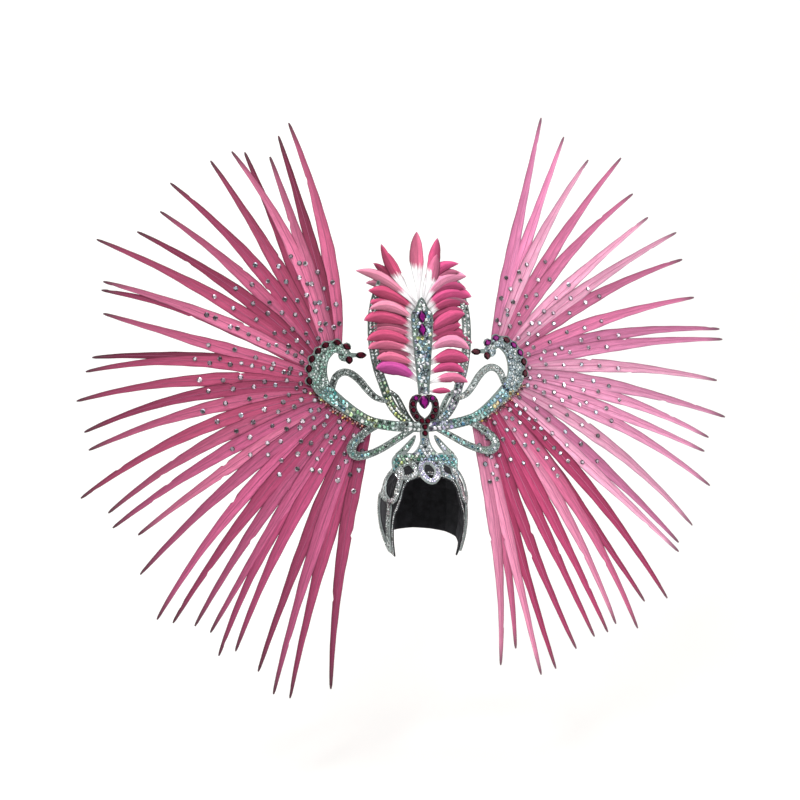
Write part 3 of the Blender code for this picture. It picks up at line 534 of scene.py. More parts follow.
def silverMaterial():
    # plated brass settings and wire, dulled by handling: a soft grey line round stones and bands
    material, tree, shader = newMaterial("platedSilver", {"Metallic": 0.7, "Roughness": 0.4})
    place = addNode(tree, "ShaderNodeTexCoord").outputs["Object"]
    wear = addNode(tree, "ShaderNodeTexNoise", {"Scale": 350.0, "Detail": 3.0},
                   {"Vector": place}).outputs["Fac"]
    ramp = addNode(tree, "ShaderNodeValToRGB", links={"Fac": wear})
    fillRamp(ramp, [(0.3, linearHex("#4c5553")), (0.6, linearHex("#87908d"))])
    tree.links.new(ramp.outputs["Color"], shader.inputs["Base Color"])
    rough = addNode(tree, "ShaderNodeMapRange", {"To Min": 0.30, "To Max": 0.55}, {"Value": wear})
    tree.links.new(rough.outputs[0], shader.inputs["Roughness"])
    return material


def featherMaterial(name, barbs, tipColour, tipStart, rootColour, quillDark, outerDark):
    # dyed feather: fine barbs that slant to the tip on both sides of the quill, drawn coarser than the
    # real 0.6 mm so that they show, with a soft silky sheen
    material, tree, shader = newMaterial(name, {
        "Roughness": 0.62, "Specular IOR Level": 0.2, "Sheen Weight": 0.06, "Sheen Roughness": 0.4,
        "Sheen Tint": linearHex("#ffc4da"),
    })
    uv = addNode(tree, "ShaderNodeUVMap", {"uv_map": "featherMap"}).outputs["UV"]
    split = addNode(tree, "ShaderNodeSeparateXYZ", links={"Vector": uv})
    along = split.outputs["Y"]
    centred = addNode(tree, "ShaderNodeMath", {"operation": "MULTIPLY_ADD", 1: 2.0, 2: -1.0},
                      {0: split.outputs["X"]})
    across = addNode(tree, "ShaderNodeMath", {"operation": "ABSOLUTE"}, {0: centred.outputs[0]}).outputs[0]
    slanted = addNode(tree, "ShaderNodeMath", {"operation": "MULTIPLY_ADD", 1: -0.035}, {0: across, 2: along})
    phase = addNode(tree, "ShaderNodeMath", {"operation": "MULTIPLY", 1: barbs * 2 * math.pi},
                    {0: slanted.outputs[0]})
    wave = addNode(tree, "ShaderNodeMath", {"operation": "SINE"}, {0: phase.outputs[0]}).outputs[0]
    streakPlace = addNode(tree, "ShaderNodeCombineXYZ",
                          links={"X": centred.outputs[0], "Y": slanted.outputs[0]})
    stretched = addNode(tree, "ShaderNodeVectorMath", {"operation": "MULTIPLY", 1: (5.0, barbs * 0.06, 1.0)},
                        {0: streakPlace.outputs[0]})
    place = addNode(tree, "ShaderNodeTexCoord").outputs["Object"]
    shifted = addNode(tree, "ShaderNodeVectorMath", {"operation": "ADD"}, {0: stretched.outputs[0], 1: place})
    streaks = addNode(tree, "ShaderNodeTexNoise", {"Scale": 1.0, "Detail": 3.0, "Roughness": 0.6},
                      {"Vector": shifted.outputs[0]}).outputs["Fac"]
    streakLevel = addNode(tree, "ShaderNodeMapRange",
                          {"From Min": 0.25, "From Max": 0.75, "To Min": 0.68, "To Max": 1.28},
                          {"Value": streaks})
    barbLevel = addNode(tree, "ShaderNodeMapRange",
                        {"From Min": -1.0, "From Max": 1.0, "To Min": 0.86, "To Max": 1.08}, {"Value": wave})
    quillLevel = addNode(tree, "ShaderNodeMapRange",
                         {"From Min": 0.0, "From Max": 0.14, "To Min": quillDark, "To Max": 1.0},
                         {"Value": across})
    # painted shade: the edges of each vane, where the neighbour lies over it, are darkened
    paintedSeamShade = addNode(tree, "ShaderNodeMapRange",
                        {"From Min": 0.74, "From Max": 1.0, "To Min": 1.0, "To Max": 0.42}, {"Value": across})
    # painted shade: darker near the root, where the feathers crowd together
    paintedRootShade = addNode(tree, "ShaderNodeMapRange",
                        {"From Min": 0.02, "From Max": 0.26, "To Min": 0.80, "To Max": 1.0}, {"Value": along})
    outerLevel = addNode(tree, "ShaderNodeMapRange",
                         {"From Min": 0.45, "From Max": 0.90, "To Min": 1.0, "To Max": outerDark},
                         {"Value": along})
    level = addNode(tree, "ShaderNodeMath", {"operation": "MULTIPLY"},
                    {0: streakLevel.outputs[0], 1: barbLevel.outputs[0]})
    for factor in (quillLevel, paintedSeamShade, paintedRootShade, outerLevel):
        level = addNode(tree, "ShaderNodeMath", {"operation": "MULTIPLY"},
                        {0: level.outputs[0], 1: factor.outputs[0]})
    # the tint holds the dye's colour with painted shade, and its alpha is the share of the feather's length
    # that was left undyed
    dyeAndShade = addNode(tree, "ShaderNodeAttribute", {"attribute_name": "tint"})
    uneven = addNode(tree, "ShaderNodeMath", {"operation": "MULTIPLY_ADD", 1: 0.16, 2: -0.08}, {0: streaks})
    bare = addNode(tree, "ShaderNodeMath", {"operation": "ADD"},
                   {0: dyeAndShade.outputs["Alpha"], 1: uneven.outputs[0]})
    beyond = addNode(tree, "ShaderNodeMath", {"operation": "SUBTRACT"}, {0: along, 1: bare.outputs[0]})
    rooted = addNode(tree, "ShaderNodeMapRange", {"From Min": -0.04, "From Max": 0.05},
                     {"Value": beyond.outputs[0]})
    body = addNode(tree, "ShaderNodeMix", {"data_type": "RGBA", 6: linearHex(rootColour)},
                   {0: rooted.outputs[0], 7: dyeAndShade.outputs["Color"]})
    tipped = addNode(tree, "ShaderNodeMapRange", {"From Min": tipStart, "From Max": 1.0}, {"Value": along})
    whole = addNode(tree, "ShaderNodeMix", {"data_type": "RGBA", 7: linearHex(tipColour)},
                    {0: tipped.outputs[0], 6: body.outputs[2]})
    shaded = addNode(tree, "ShaderNodeVectorMath", {"operation": "SCALE"},
                     {0: whole.outputs[2], "Scale": level.outputs[0]})
    tree.links.new(shaded.outputs[0], shader.inputs["Base Color"])
    bump = addNode(tree, "ShaderNodeBump", {"Strength": 0.35, "Distance": 0.0006}, {"Height": wave})
    tree.links.new(bump.outputs["Normal"], shader.inputs["Normal"])
    return material


felt = feltMaterial()
silver = silverMaterial()
crystal = crystalMaterial("foiledCrystal", 0.60, 0.14)
print("materials made")


# Stones, modelled once and copied

def chatonMaster(sidesCount, table, height):
    # a round stone: a flat table, crown facets and a narrow facet between each two of them
    deselectAll()
    bpy.ops.mesh.primitive_cone_add(vertices=sidesCount, radius1=1.0, radius2=table, depth=height,
                                    end_fill_type="NGON", location=(0, 0, height / 2))
    stone = bpy.context.object
    bpy.ops.object.mode_set(mode="EDIT")
    form = bmesh.from_edit_mesh(stone.data)
    for face in form.faces:
        face.select = False
    for edge in form.edges:
        low, high = sorted(vert.co.z for vert in edge.verts)
        edge.select = high - low > height / 2
    bmesh.update_edit_mesh(stone.data)
    bpy.ops.mesh.bevel(offset=0.16, segments=1, affect="EDGES")
    bpy.ops.object.mode_set(mode="OBJECT")
    for vert in stone.data.vertices:
        vert.co.z = min(max(vert.co.z, 0.0), height)
    return meshArrays(stone)


fineStone = chatonMaster(8, 0.56, 0.62)
seedStone = chatonMaster(5, 0.50, 0.60)


def paintedFacetReflections(colour, faceCount, table, paintedFlashLevel, rng):
    # painted reflections: every facet of a foiled stone is painted its own brightness, most of the crown
    # painted dark, most tables painted as flashing light
    paintedReflectionLevels = rng.choice([0.06, 0.30, 0.75, 1.3, 2.6], faceCount, p=[0.20, 0.25, 0.25, 0.17, 0.13])
    paintedReflectionLevels[table] = rng.choice([0.25, 1.2, 2.2, 3.4], p=[0.22, 0.28, 0.30, 0.20])
    paintedReflectionLevels = paintedReflectionLevels * paintedFlashLevel
    colours = colour[None, :] * paintedReflectionLevels[:, None]
    bright = paintedReflectionLevels > 1.8
    # painted highlight: the brightest facets are mixed towards white
    colours[bright] = colours[bright] * 0.62 + 0.38 * rng.uniform(0.8, 1.0)
    return np.clip(colours, 0.0, 1.0)


def stonePiece(name, master, seats, paintedFlashLevel=1.0):
    # a seat is place, radius, colour and the direction that the stone's table faces
    points, faces = master
    rng = np.random.default_rng(sum(ord(letter) for letter in name))
    table = int(np.argmax([min(points[corner, 2] for corner in face) for face in faces]))
    allPoints, allFaces, allColours = [], [], []
    for index, (place, radius, colour, facing) in enumerate(seats):
        facing = np.asarray(facing, float) / np.linalg.norm(facing)
        side = np.cross(facing, (0.0, 0.0, 1.0))
        side = side / np.linalg.norm(side)
        up = np.cross(side, facing)
        turn = rng.uniform(0, 2 * math.pi)
        x, y = points[:, 0] * radius, points[:, 1] * radius
        turnedX, turnedY = x * math.cos(turn) - y * math.sin(turn), x * math.sin(turn) + y * math.cos(turn)
        allPoints.append(np.asarray(place) + turnedX[:, None] * side + turnedY[:, None] * up
                         + (points[:, 2] * radius)[:, None] * facing)
        allFaces += movedFaces(faces, index * len(points))
        # each facet's colour is the stone's colour with painted reflections
        shade = paintedFacetReflections(np.array(linearHex(colour)[:3]), len(faces), table, paintedFlashLevel, rng)
        allColours.append(np.hstack([shade, np.ones((len(faces), 1))]))
    piece = meshPiece(name, np.vstack(allPoints), allFaces, crystal, tint=np.vstack(allColours), smooth=False)
    deselectAll()
    piece.select_set(True)
    bpy.context.view_layer.objects.active = piece
    bpy.ops.object.mode_set(mode="EDIT")
    bpy.ops.mesh.select_all(action="SELECT")
    bpy.ops.mesh.normals_make_consistent(inside=False)
    bpy.ops.object.mode_set(mode="OBJECT")
    return settle(piece)


frontFacing = (0.0, -1.0, 0.12)      # the leaning frame shows its stones a little upwards


def bandSeats(rows, size, pitch, margin, front, palette, rng, side=1, avoid=()):
    # rows of stones across a band, each row shifted by half a stone from the last
    length = routeLength(rows)
    stations = max(2, int(length / (pitch * 0.92)))
    shares = (np.arange(stations) + 0.5) / stations
    places = alongRoute(rows, shares)
    ahead = alongRoute(rows, np.minimum(1.0, shares + 0.005))
    ahead -= alongRoute(rows, np.maximum(0.0, shares - 0.005))
    seats = []
    for index, (share, place, along) in enumerate(zip(shares, places, ahead)):
        reach = place[2] - margin - size / 2
        if reach < 0:
            continue
        count = int(2 * reach / pitch) + 1
        if count > 2 and index % 2:
            count -= 1
        across = np.array([-along[1], along[0]]) / math.hypot(along[0], along[1])
        for step in range(count):
            room = min(reach, pitch * (count - 1) / 2 * 1.12)
            shift = 0.0 if count == 1 else (step / (count - 1) - 0.5) * 2 * room
            x, z = place[0] + across[0] * shift, place[1] + across[1] * shift
            if any(isInside(outline, x, z) for outline in avoid):
                continue
            colour = palette(share, shift / max(place[2], 1e-6), rng)
            seats.append(seatAt(x, z, front, size, colour, rng, side))
    return seats


def shaded(colour, level):
    # the same colour, but lighter or darker
    values = [int(colour[k:k + 2], 16) * level for k in (1, 3, 5)]
    return "#" + "".join(f"{int(min(255, value)):02x}" for value in values)


def seatAt(x, z, front, size, colour, rng, side=1):
    jitter = rng.uniform(-0.0003, 0.0003, 2)
    place = inPlace([(side * x + jitter[0], front, z + jitter[1])])[0]
    return place, size / 2 * rng.uniform(0.92, 1.04), shaded(colour, rng.uniform(0.60, 1.34)), frontFacing


def pick(rng, colours):
    return colours[rng.integers(len(colours))]


def zoned(zones):
    # colours by how far along the band a stone sits
    def palette(share, shift, rng):
        for border, colours in zones:
            if share <= border:
                return pick(rng, colours)
        return pick(rng, zones[-1][1])
    return palette


stoneColours = {
    "sage": ["#5f8577", "#8aa89a", "#3d5e52", "#b5c8be", "#4b7263", "#6f9a88"],
    "teal": ["#2a7472", "#4a938d", "#1a5258", "#93c8c0", "#4a7f9c", "#6fb0a8"],
    "lime": ["#6f9a72", "#a2bd8c", "#47785a", "#cfdcbc", "#35664e", "#b4c474", "#7fa894"],
    "ice": ["#b4c4cc", "#98aab4", "#748894", "#dce4e8", "#8698a6", "#5c6e7c"],
    "sea": ["#3f7490", "#286874", "#7fb0b8", "#c8a864", "#41588a", "#95c0bc"],
    "steel": ["#84908c", "#a8b2af", "#56605d", "#ccd4d1", "#6a7674", "#3a4240"],
    "silver": ["#b8bebe", "#9ca4a4", "#dadede", "#7c8686", "#c4c4ca", "#a8a49c"],
    "forest": ["#2a4238", "#4c735c", "#7f9f8a", "#1a2a24", "#628a70", "#a8b8ac"],
    "lilac": ["#a598bc", "#8276a4", "#cdc4d8", "#625684", "#98a2c0", "#dcd6e2"],
    "violet": ["#74648c", "#9a88a8", "#4a3e60", "#b8aac0", "#7c7c94", "#56707c"],
    "azure": ["#4c7a8c", "#88aab8", "#c4ccd4", "#33586c", "#a0a0bc", "#9cb4a4", "#d4d8de"],
    "ruby": ["#5a1420", "#7a2030", "#3a0c14", "#8f4030", "#a86050", "#4a1a28"],
    # pale lime stones painted to stand in for a glow of light
    "paintedGlow": ["#e4ff8a", "#c8f59a", "#f4ffd0", "#a8e8b0"],
    "blush": ["#b4a2b0", "#988694", "#84707c", "#c8bac4", "#766270", "#a0a2ae"],
    "gilt": ["#c89a50", "#8f5a48", "#e0c080", "#a0485c", "#6a3040", "#d4a8a0"],
}


def namedZones(zones):
    return zoned([(border, stoneColours[name]) for border, name in zones])


# Main stones: what each sits at, so that the small stones leave room

mainStones = {
    "swan": [
        (0.647, 0.890, 32.0), (0.729, 0.938, 8.0), (0.832, 0.915, -25.0), (0.900, 0.856, -45.0),
        (0.958, 0.771, -61.0), (0.988, 0.669, -80.0), (0.991, 0.537, -98.0),
    ],
    "heart": [(0.73, 1.00), (1.00, 0.77), (0.97, 0.52), (0.71, 0.27), (0.265, 0.09)],
    "heartPear": 0.84,
    "cheek": (0.633, 0.745),
    "beak": (0.525, 0.793),
    "stalk": [0.0, -0.012],
    "spire": [0.684, 0.823],
}

# In the dictionaries that follow, three metres in a row are stone, pitch and margin to the band's edge
swanStones = {
    "seeds": {"left": 12, "right": 11},
    "body": (0.0094, 0.0088, 0.0004), "neck": (0.0056, 0.0053, 0.0006), "bodyShare": 0.50,
    "headRings": [(0.0, 1), (0.0052, 6), (0.0098, 12)], "headStone": 0.0052,
    "navetteRoom": 0.0066, "cheekRoom": 0.0080, "beakRoom": 0.0105,
    "zones": {
        "left": [(0.14, "steel"), (0.40, "lime"), (0.56, "teal"), (1.0, "sage")],
        "right": [(0.14, "lilac"), (0.38, "teal"), (0.52, "sea"), (1.0, "ice")],
    },
}


def swanAvoid(side):
    seats = [discOutline(wingPlace(side, out, up), swanStones["navetteRoom"])
             for out, up, _ in mainStones["swan"]]
    seats.append(discOutline(wingPlace(side, *mainStones["cheek"]), swanStones["cheekRoom"]))
    seats.append(discOutline(wingPlace(side, *mainStones["beak"]), swanStones["beakRoom"]))
    return seats + [heartOuter, bandOutline(bandRows(bands["stalk"]), 0.0010)]


def makeSwanStones(name, side):
    rng = np.random.default_rng(swanStones["seeds"][name])
    palette = namedZones(swanStones["zones"][name])
    avoid = swanAvoid(side)
    rows = swanRows[side]
    front = drawing["bandFront"]
    share = swanStones["bodyShare"]
    border = int(len(rows) * share)
    seats = bandSeats(rows[:border + 1], *swanStones["body"], front,
                      lambda at, shift, r: palette(at * share, shift, r), rng, side, avoid)
    seats += bandSeats(rows[border:], *swanStones["neck"], front,
                       lambda at, shift, r: palette(share + at * (1 - share), shift, r), rng, side, avoid)
    centre = wingPlace(side, *swanHead)
    for ring, count in swanStones["headRings"]:
        for step in range(count):
            turn = step * 2 * math.pi / count
            x, z = centre[0] + ring * math.cos(turn), centre[1] + ring * math.sin(turn)
            if not any(isInside(outline, x, z) for outline in avoid + [swanOutline[side]]):
                seats.append(seatAt(x, z, front, swanStones["headStone"], palette(0.9, 0.0, rng), rng, side))
    stonePiece(f"swanStones_{name}", fineStone, seats)


loopStones = {
    "seeds": {"left": 22, "right": 21},
    "large": (0.0062, 0.0064, 0.0), "edge": (0.0028, 0.0030, 0.0),
    "largeReach": 0.0036, "edgeReach": 0.0016, "edgeInset": 0.0019,
    "wingLoop": {"left": [(1.0, "steel")], "right": [(1.0, "silver")]},
    "bowLoop": {
        "left": [(0.2, "steel"), (0.55, "teal"), (1.0, "forest")],
        "right": [(0.2, "steel"), (0.55, "azure"), (1.0, "teal")],
    },
}


def loopSeats(loop, name, side, front, rng, avoid):
    # one row of larger stones with a row of seed stones along both edges
    rows = wingRows(loop, side)
    centre = rows * np.array([1.0, 1.0, 0.0]) + np.array([0.0, 0.0, loopStones["largeReach"]])
    palette = namedZones(loopStones[loop][name])
    seats = bandSeats(centre, *loopStones["large"], front, palette, rng, side, avoid)
    for edge in (-1, 1):
        along = rows.copy()
        along[:, :2] += acrossRows(rows) * edge * (rows[:, 2:3] - loopStones["edgeInset"])
        along[:, 2] = loopStones["edgeReach"]
        seats += bandSeats(along, *loopStones["edge"], front, namedZones([(1.0, "steel")]), rng, side, avoid)
    return seats


def makeLoopStones(name, side):
    rng = np.random.default_rng(loopStones["seeds"][name])
    seats = loopSeats("wingLoop", name, side, drawing["backingFront"], rng, [swanOutline[side]])
    bowAvoid = [bandOutline(swanRows[side], 0.0005), bandOutline(bandRows(bands["stalk"]), 0.002)]
    seats += loopSeats("bowLoop", name, side, drawing["bandFront"], rng, bowAvoid)
    stonePiece(f"loopStones_{name}", fineStone, seats)


lyreStones = {
    "seeds": {"left": 32, "right": 31},
    "arc": (0.0070, 0.0068, 0.0005), "prong": (0.0052, 0.0052, 0.0005),
    "zones": {
        "left": [(0.18, "paintedGlow"), (0.34, "lime"), (1.0, "silver")],
        "right": [(0.12, "azure"), (0.42, "violet"), (1.0, "silver")],
    },
}


def makeLyreStones(name, side):
    rng = np.random.default_rng(lyreStones["seeds"][name])
    front = drawing["lyreFront"]
    rows = bandRows(bands["lyre"])
    hidden = [swanOutline[side], heartOuter, bandOutline(wingRows("wingLoop", side))]
    palette = namedZones(lyreStones["zones"][name])
    seats = bandSeats(rows, *lyreStones["arc"], front, palette, rng, side, hidden)
    prong = bandRows(bands["lyreProng"])
    seats += bandSeats(prong, *lyreStones["prong"], front, namedZones([(1.0, "steel")]), rng, side,
                       hidden + [bandOutline(rows)])
    stonePiece(f"lyreStones_{name}", fineStone, seats)


spireStones = {
    "seed": 41, "fit": (0.0080, 0.0074, 0.0003), "navetteRoom": (0.0082, 0.0120),
    "glowFrom": 0.56, "glowTo": 0.66, "glowShare": 0.4,
}


# some stones in a band of the spire are painted pale lime as a painted glow
def spireColour(share, shift, rng):
    inGlow = spireStones["glowFrom"] < share < spireStones["glowTo"]
    glows = inGlow and rng.random() < spireStones["glowShare"]
    return pick(rng, stoneColours["paintedGlow" if glows else "azure"])


def makeSpireStones():
    rng = np.random.default_rng(spireStones["seed"])
    avoid = [heartOuter]
    for share in mainStones["spire"]:
        up = drawing["spireBase"] + share * drawing["spireHeight"]
        room = discOutline((0.0, 0.0), 1.0) * np.array(spireStones["navetteRoom"])
        avoid.append(room + np.array([0.0, up]))
    seats = bandSeats(spireRows(), *spireStones["fit"], drawing["bandFront"], spireColour, rng, 1, avoid)
    stonePiece("spireStones", fineStone, seats)


def capClears(x, z):
    # whether a place on the foot is above the cap
    height = z + drawing["hubHeight"]
    y = -drawing["frameForward"] + math.tan(drawing["lean"]) * height - footStones["capBefore"]
    room = 1 - (x / headForm["halfWidth"]) ** 2 - (y / headForm["halfDepth"]) ** 2
    top = -headForm["crownDepth"] + headForm["crownDepth"] * math.sqrt(max(0.0, room))
    return height > top + footStones["capRoom"]


footStones = {
    "seed": 51, "bar": 0.0074, "barPitch": 0.0070, "rowPitch": 0.88, "barMargin": 0.0028,
    "leaf": (0.0060, 0.0060, 0.0004), "stalk": (0.0070, 0.0068, 0.0006), "stalkFrom": -0.020,
    "leafZones": {"left": [(1.0, "sage")], "right": [(1.0, "azure")]},
    "capBefore": 0.004, "capRoom": 0.0065, "lowest": -0.02,
}


def makeFootStones():
    rng = np.random.default_rng(footStones["seed"])
    front = drawing["bandFront"]
    bar = footBarOutline()
    stalk = bandRows(bands["stalk"])
    pitch, margin = footStones["barPitch"], footStones["barMargin"]
    seats = []
    for row in range(-13, 0):
        for column in range(-10, 11):
            x, z = (column + 0.5 * (row % 2)) * pitch, row * pitch * footStones["rowPitch"]
            around = [(x + margin, z), (x - margin, z), (x, z + margin), (x, z - margin)]
            deep = all(isInside(bar, *place) for place in around)
            if deep and capClears(x, z) and not isInside(stalkOutline, x, z):
                name = "lime" if abs(x + 0.03) < 0.02 else ("azure" if abs(x) < 0.02 else "teal")
                seats.append(seatAt(x, z, front, footStones["bar"], pick(rng, stoneColours[name]), rng))
    for name, side in sides.items():
        seats += bandSeats(bandRows(bands["leaf"]), *footStones["leaf"], front,
                           namedZones(footStones["leafZones"][name]), rng, side, [bar])
    lower = stalk[stalk[:, 1] < footStones["stalkFrom"]]
    seats += bandSeats(lower, *footStones["stalk"], front, namedZones([(1.0, "azure")]), rng, 1, [])
    stonePiece("footStones", fineStone, [seat for seat in seats if seat[0][2] > footStones["lowest"]])


capLoops = {
    "front": [
        (23.0, 0.17), (34.0, 0.09), (49.0, 0.08), (58.0, 0.16), (55.0, 0.27), (43.0, 0.325),
        (30.0, 0.31), (22.0, 0.25),
    ],
    "temple": [
        (48.0, 0.25), (58.0, 0.17), (70.0, 0.18), (77.5, 0.31), (78.0, 0.50), (71.0, 0.69),
        (61.0, 0.78), (52.0, 0.72), (48.5, 0.56), (46.5, 0.40),
    ],
    "cheek": [
        (61.0, 0.82), (61.5, 1.00), (64.5, 1.24), (68.5, 1.50), (72.5, 1.72), (77.0, 1.70),
        (82.0, 1.48), (88.0, 1.20), (92.0, 0.95), (90.0, 0.74), (82.0, 0.66), (70.0, 0.72),
    ],
    "stripHeight": 0.003,
    "step": 0.0004,              # each loop lies this much higher than the last
    "seeds": {"left": 62, "right": 61},
    "stones": {
        "left": {"front": "silver", "temple": "silver", "cheek": "steel"},
        "right": {"front": "azure", "temple": "silver", "cheek": "silver"},
    },
    "stone": 0.0044, "pitch": 0.0042, "lanes": 3, "laneGap": 0.0036, "browRoom": 0.0085,
}

browLoop = {
    "halfSpan": 0.015, "drop": 0.037, "height": 0.004,
    "seed": 71, "stone": 0.0046, "pitch": 0.0047, "lanes": 2, "laneGap": 0.0045,
    "rows": [
        (0.00, 0.16), (0.62, 0.20), (1.00, 0.42), (0.92, 0.68), (0.50, 0.90), (0.00, 1.00),
        (-0.50, 0.90), (-0.92, 0.68), (-1.00, 0.42), (-0.62, 0.20),
    ],
}


def browRows():
    rows = []
    for out, share in smoothRows(browLoop["rows"], 6, closed=True):
        depth = share * browLoop["drop"]
        longitude = math.degrees(math.asin(out * browLoop["halfSpan"] / headRadii(depth)[0]))
        rows.append((longitude, depth))
    return rows


def capSeats(rows, lift, loop, colours, rng):
    # lanes of small stones that follow a closed strip on the cap
    size, pitch, lanes, laneGap = loop["stone"], loop["pitch"], loop["lanes"], loop["laneGap"]
    tops = [capPoint(longitude, depth, lift) for longitude, depth in rows]
    normals = [headNormal(longitude, depth) for longitude, depth in rows]
    seats = []
    for lane in range(lanes):
        offset = (lane - (lanes - 1) / 2) * laneGap
        path = []
        for index, (place, normal) in enumerate(zip(tops, normals)):
            along = tops[(index + 1) % len(tops)] - tops[index - 1]
            path.append(np.array(place + normal.cross(along).normalized() * offset))
        path = np.array(path + [path[0]])
        lengths = pathLengths(path)
        count = max(4, int(lengths[-1] / pitch))
        for step in range(count):
            at = (step + 0.5 * (lane % 2)) / count * lengths[-1]
            place = np.array([np.interp(at, lengths, path[:, axis]) for axis in range(3)])
            nearest = int(np.argmin(np.linalg.norm(path[:-1] - place, axis=1)))
            seats.append((place, size / 2, pick(rng, colours), tuple(normals[nearest])))
    return seats


def footCovers(place):
    # whether a place on the cap is hidden under the foot
    behind = place[1] + drawing["frameForward"] - math.tan(drawing["lean"]) * place[2]
    first, last = footTop["covers"]
    return first < behind < last and isInside(footBarOutline(), place[0], place[2] - drawing["hubHeight"])


def makeScrollStones(name, side):
    rng = np.random.default_rng(capLoops["seeds"][name])
    seats = []
    brow = np.array([tuple(capPoint(longitude, depth, browLoop["height"]))
                     for longitude, depth in browRows()])
    for level, (loop, colours) in enumerate(capLoops["stones"][name].items()):
        rows = [(side * longitude, share * headForm["crownDepth"]) for longitude, share in capLoops[loop]]
        lift = headForm["wall"] + headForm["clearance"] + level * capLoops["step"] + capLoops["stripHeight"]
        for seat in capSeats(smoothRows(rows, 6, True), lift, capLoops, stoneColours[colours], rng):
            near = np.linalg.norm(brow - np.array(seat[0]), axis=1).min() < capLoops["browRoom"]
            if not near and not footCovers(seat[0]):
                seats.append(seat)
    stonePiece(f"scrollStones_{name}", seedStone, seats)


def makeBrowStones():
    rng = np.random.default_rng(browLoop["seed"])
    lift = headForm["wall"] + headForm["clearance"] + browLoop["height"]
    seats = capSeats(browRows(), lift, browLoop, stoneColours["lilac"], rng)
    stonePiece("browStones", fineStone, [seat for seat in seats if not footCovers(seat[0])])


featherTrim = {
    "seeds": {"left": 82, "right": 81}, "from": 0.30, "to": 0.66, "pitch": 0.0160, "front": -0.0012,
    "lanes": [(0.0022, 0.0062), (0.0078, 0.0056)],   # distance from the swan's edge, bead
    "skipped": 0.35, "gems": 0.5, "look": 0.01,
}


def makeFeatherTrim(name, side):
    # dark red and gilt beads that hide where the feathers are tied, along the outer edge of each swan
    rng = np.random.default_rng(featherTrim["seeds"][name])
    rows = swanRows[side]
    seats = []
    for lane, (offset, size) in enumerate(featherTrim["lanes"]):
        for share in np.arange(featherTrim["from"], featherTrim["to"], featherTrim["pitch"]):
            if lane and rng.random() < featherTrim["skipped"]:
                continue
            start = share + lane * 0.005
            place, near = alongRoute(rows, [start, start + featherTrim["look"]])
            along = (near - place)[:2]
            across = np.array([along[1], -along[0]]) / max(1e-9, math.hypot(*along))
            spot = place[:2] + across * (place[2] + offset)
            colour = pick(rng, stoneColours["ruby" if rng.random() < featherTrim["gems"] else "gilt"])
            seats.append(seatAt(spot[0], spot[1], featherTrim["front"], size, colour, rng, side))
    stonePiece(f"featherTrim_{name}", fineStone, seats)


# Feathers

# Long feathers from the top of each fan down, a row being angle in degrees, reach and bow
fans = {
    "reach": 0.660, "width": 0.029, "roots": (0.985, 0.300), "seeds": {"left": 92, "right": 91},
    "depth": 0.0026, "layer": 0.0016, "curl": (-0.004, 0.008), "tilt": 0.09, "fold": 0.16,
    "quill": 0.0009, "quillLift": 0.0001,
    "vane": [
        (0.00, 0.42), (0.12, 0.80), (0.28, 1.00), (0.42, 0.96), (0.56, 0.75), (0.70, 0.52),
        (0.84, 0.38), (0.93, 0.29), (0.985, 0.20), (1.00, 0.09),
    ],
    "left": [
        (67.4, 0.97, 0.045), (64.7, 0.945, 0.015), (61.5, 0.90, 0.010), (58.2, 0.95, 0.00),
        (56.2, 0.97, 0.060), (52.5, 0.985, 0.020), (44.8, 1.01, 0.045), (40.1, 0.975, 0.040),
        (34.9, 0.99, 0.045), (30.4, 1.075, 0.035), (24.8, 1.00, 0.035), (23.4, 0.995, 0.055),
        (19.8, 0.965, 0.000), (12.0, 0.96, 0.045), (9.4, 0.97, 0.070), (4.3, 0.985, 0.055),
        (-0.9, 0.96, 0.070), (-4.0, 0.95, 0.050), (-11.8, 0.99, 0.065), (-15.3, 0.925, 0.060),
        (-18.0, 0.925, 0.035), (-20.7, 0.865, 0.020), (-27.4, 0.905, 0.035), (-35.5, 0.93, 0.050),
        (-37.6, 0.90, 0.035), (-40.7, 0.86, 0.030), (-43.5, 0.84, 0.015), (-47.6, 0.87, 0.045),
        (-49.4, 0.83, 0.035), (-55.0, 0.835, 0.015), (-59.6, 0.865, 0.020), (-62.8, 0.855, 0.020),
        (-69.2, 0.785, 0.030),
    ],
    "right": [
        (66.8, 1.025, 0.000), (61.6, 1.01, 0.010), (55.8, 0.99, 0.040), (51.0, 1.075, 0.030),
        (45.4, 1.015, 0.050), (40.5, 1.00, 0.020), (35.3, 1.045, 0.030), (30.7, 1.02, 0.045),
        (23.8, 0.99, 0.035), (16.8, 1.045, 0.045), (15.0, 1.04, 0.030), (8.1, 0.985, 0.035),
        (1.4, 0.995, 0.030), (-2.4, 0.94, 0.045), (-5.1, 0.925, 0.020), (-11.4, 0.955, 0.050),
        (-19.6, 0.92, 0.055), (-23.8, 0.885, 0.025), (-25.4, 0.90, 0.005), (-32.4, 0.855, 0.030),
        (-34.4, 0.925, 0.040), (-37.6, 0.865, 0.015), (-42.6, 0.895, 0.050), (-45.0, 0.835, 0.040),
        (-47.5, 0.83, 0.015), (-50.3, 0.81, 0.000), (-55.2, 0.795, -0.020), (-61.3, 0.805, -0.010),
        (-64.8, 0.795, 0.000), (-67.6, 0.695, 0.030), (-72.5, 0.72, 0.040),
    ],
    "colours": {
        "left": ["#c46084", "#a04062", "#cc6e90", "#ae4a6c", "#8c3452"],
        "right": ["#ea9cc0", "#dc84ae", "#f2acca", "#d4769e", "#e88eb8"],
    },
    "lowColours": {
        "left": ["#c8608a", "#a24266", "#d07294", "#b04a72"],
        "right": ["#ce688e", "#b04068", "#de8aaa", "#ba4670"],
    },
    "lowFrom": 0.62, "spread": 0.20,
    # light across a vane: the half that the neighbour above lies over is in its shade
    "shade": [(-1.0, 0.66), (-0.25, 0.88), (0.25, 1.06), (1.0, 1.12)],
    "shadeTint": (1.0, 1.35, 1.2),
}

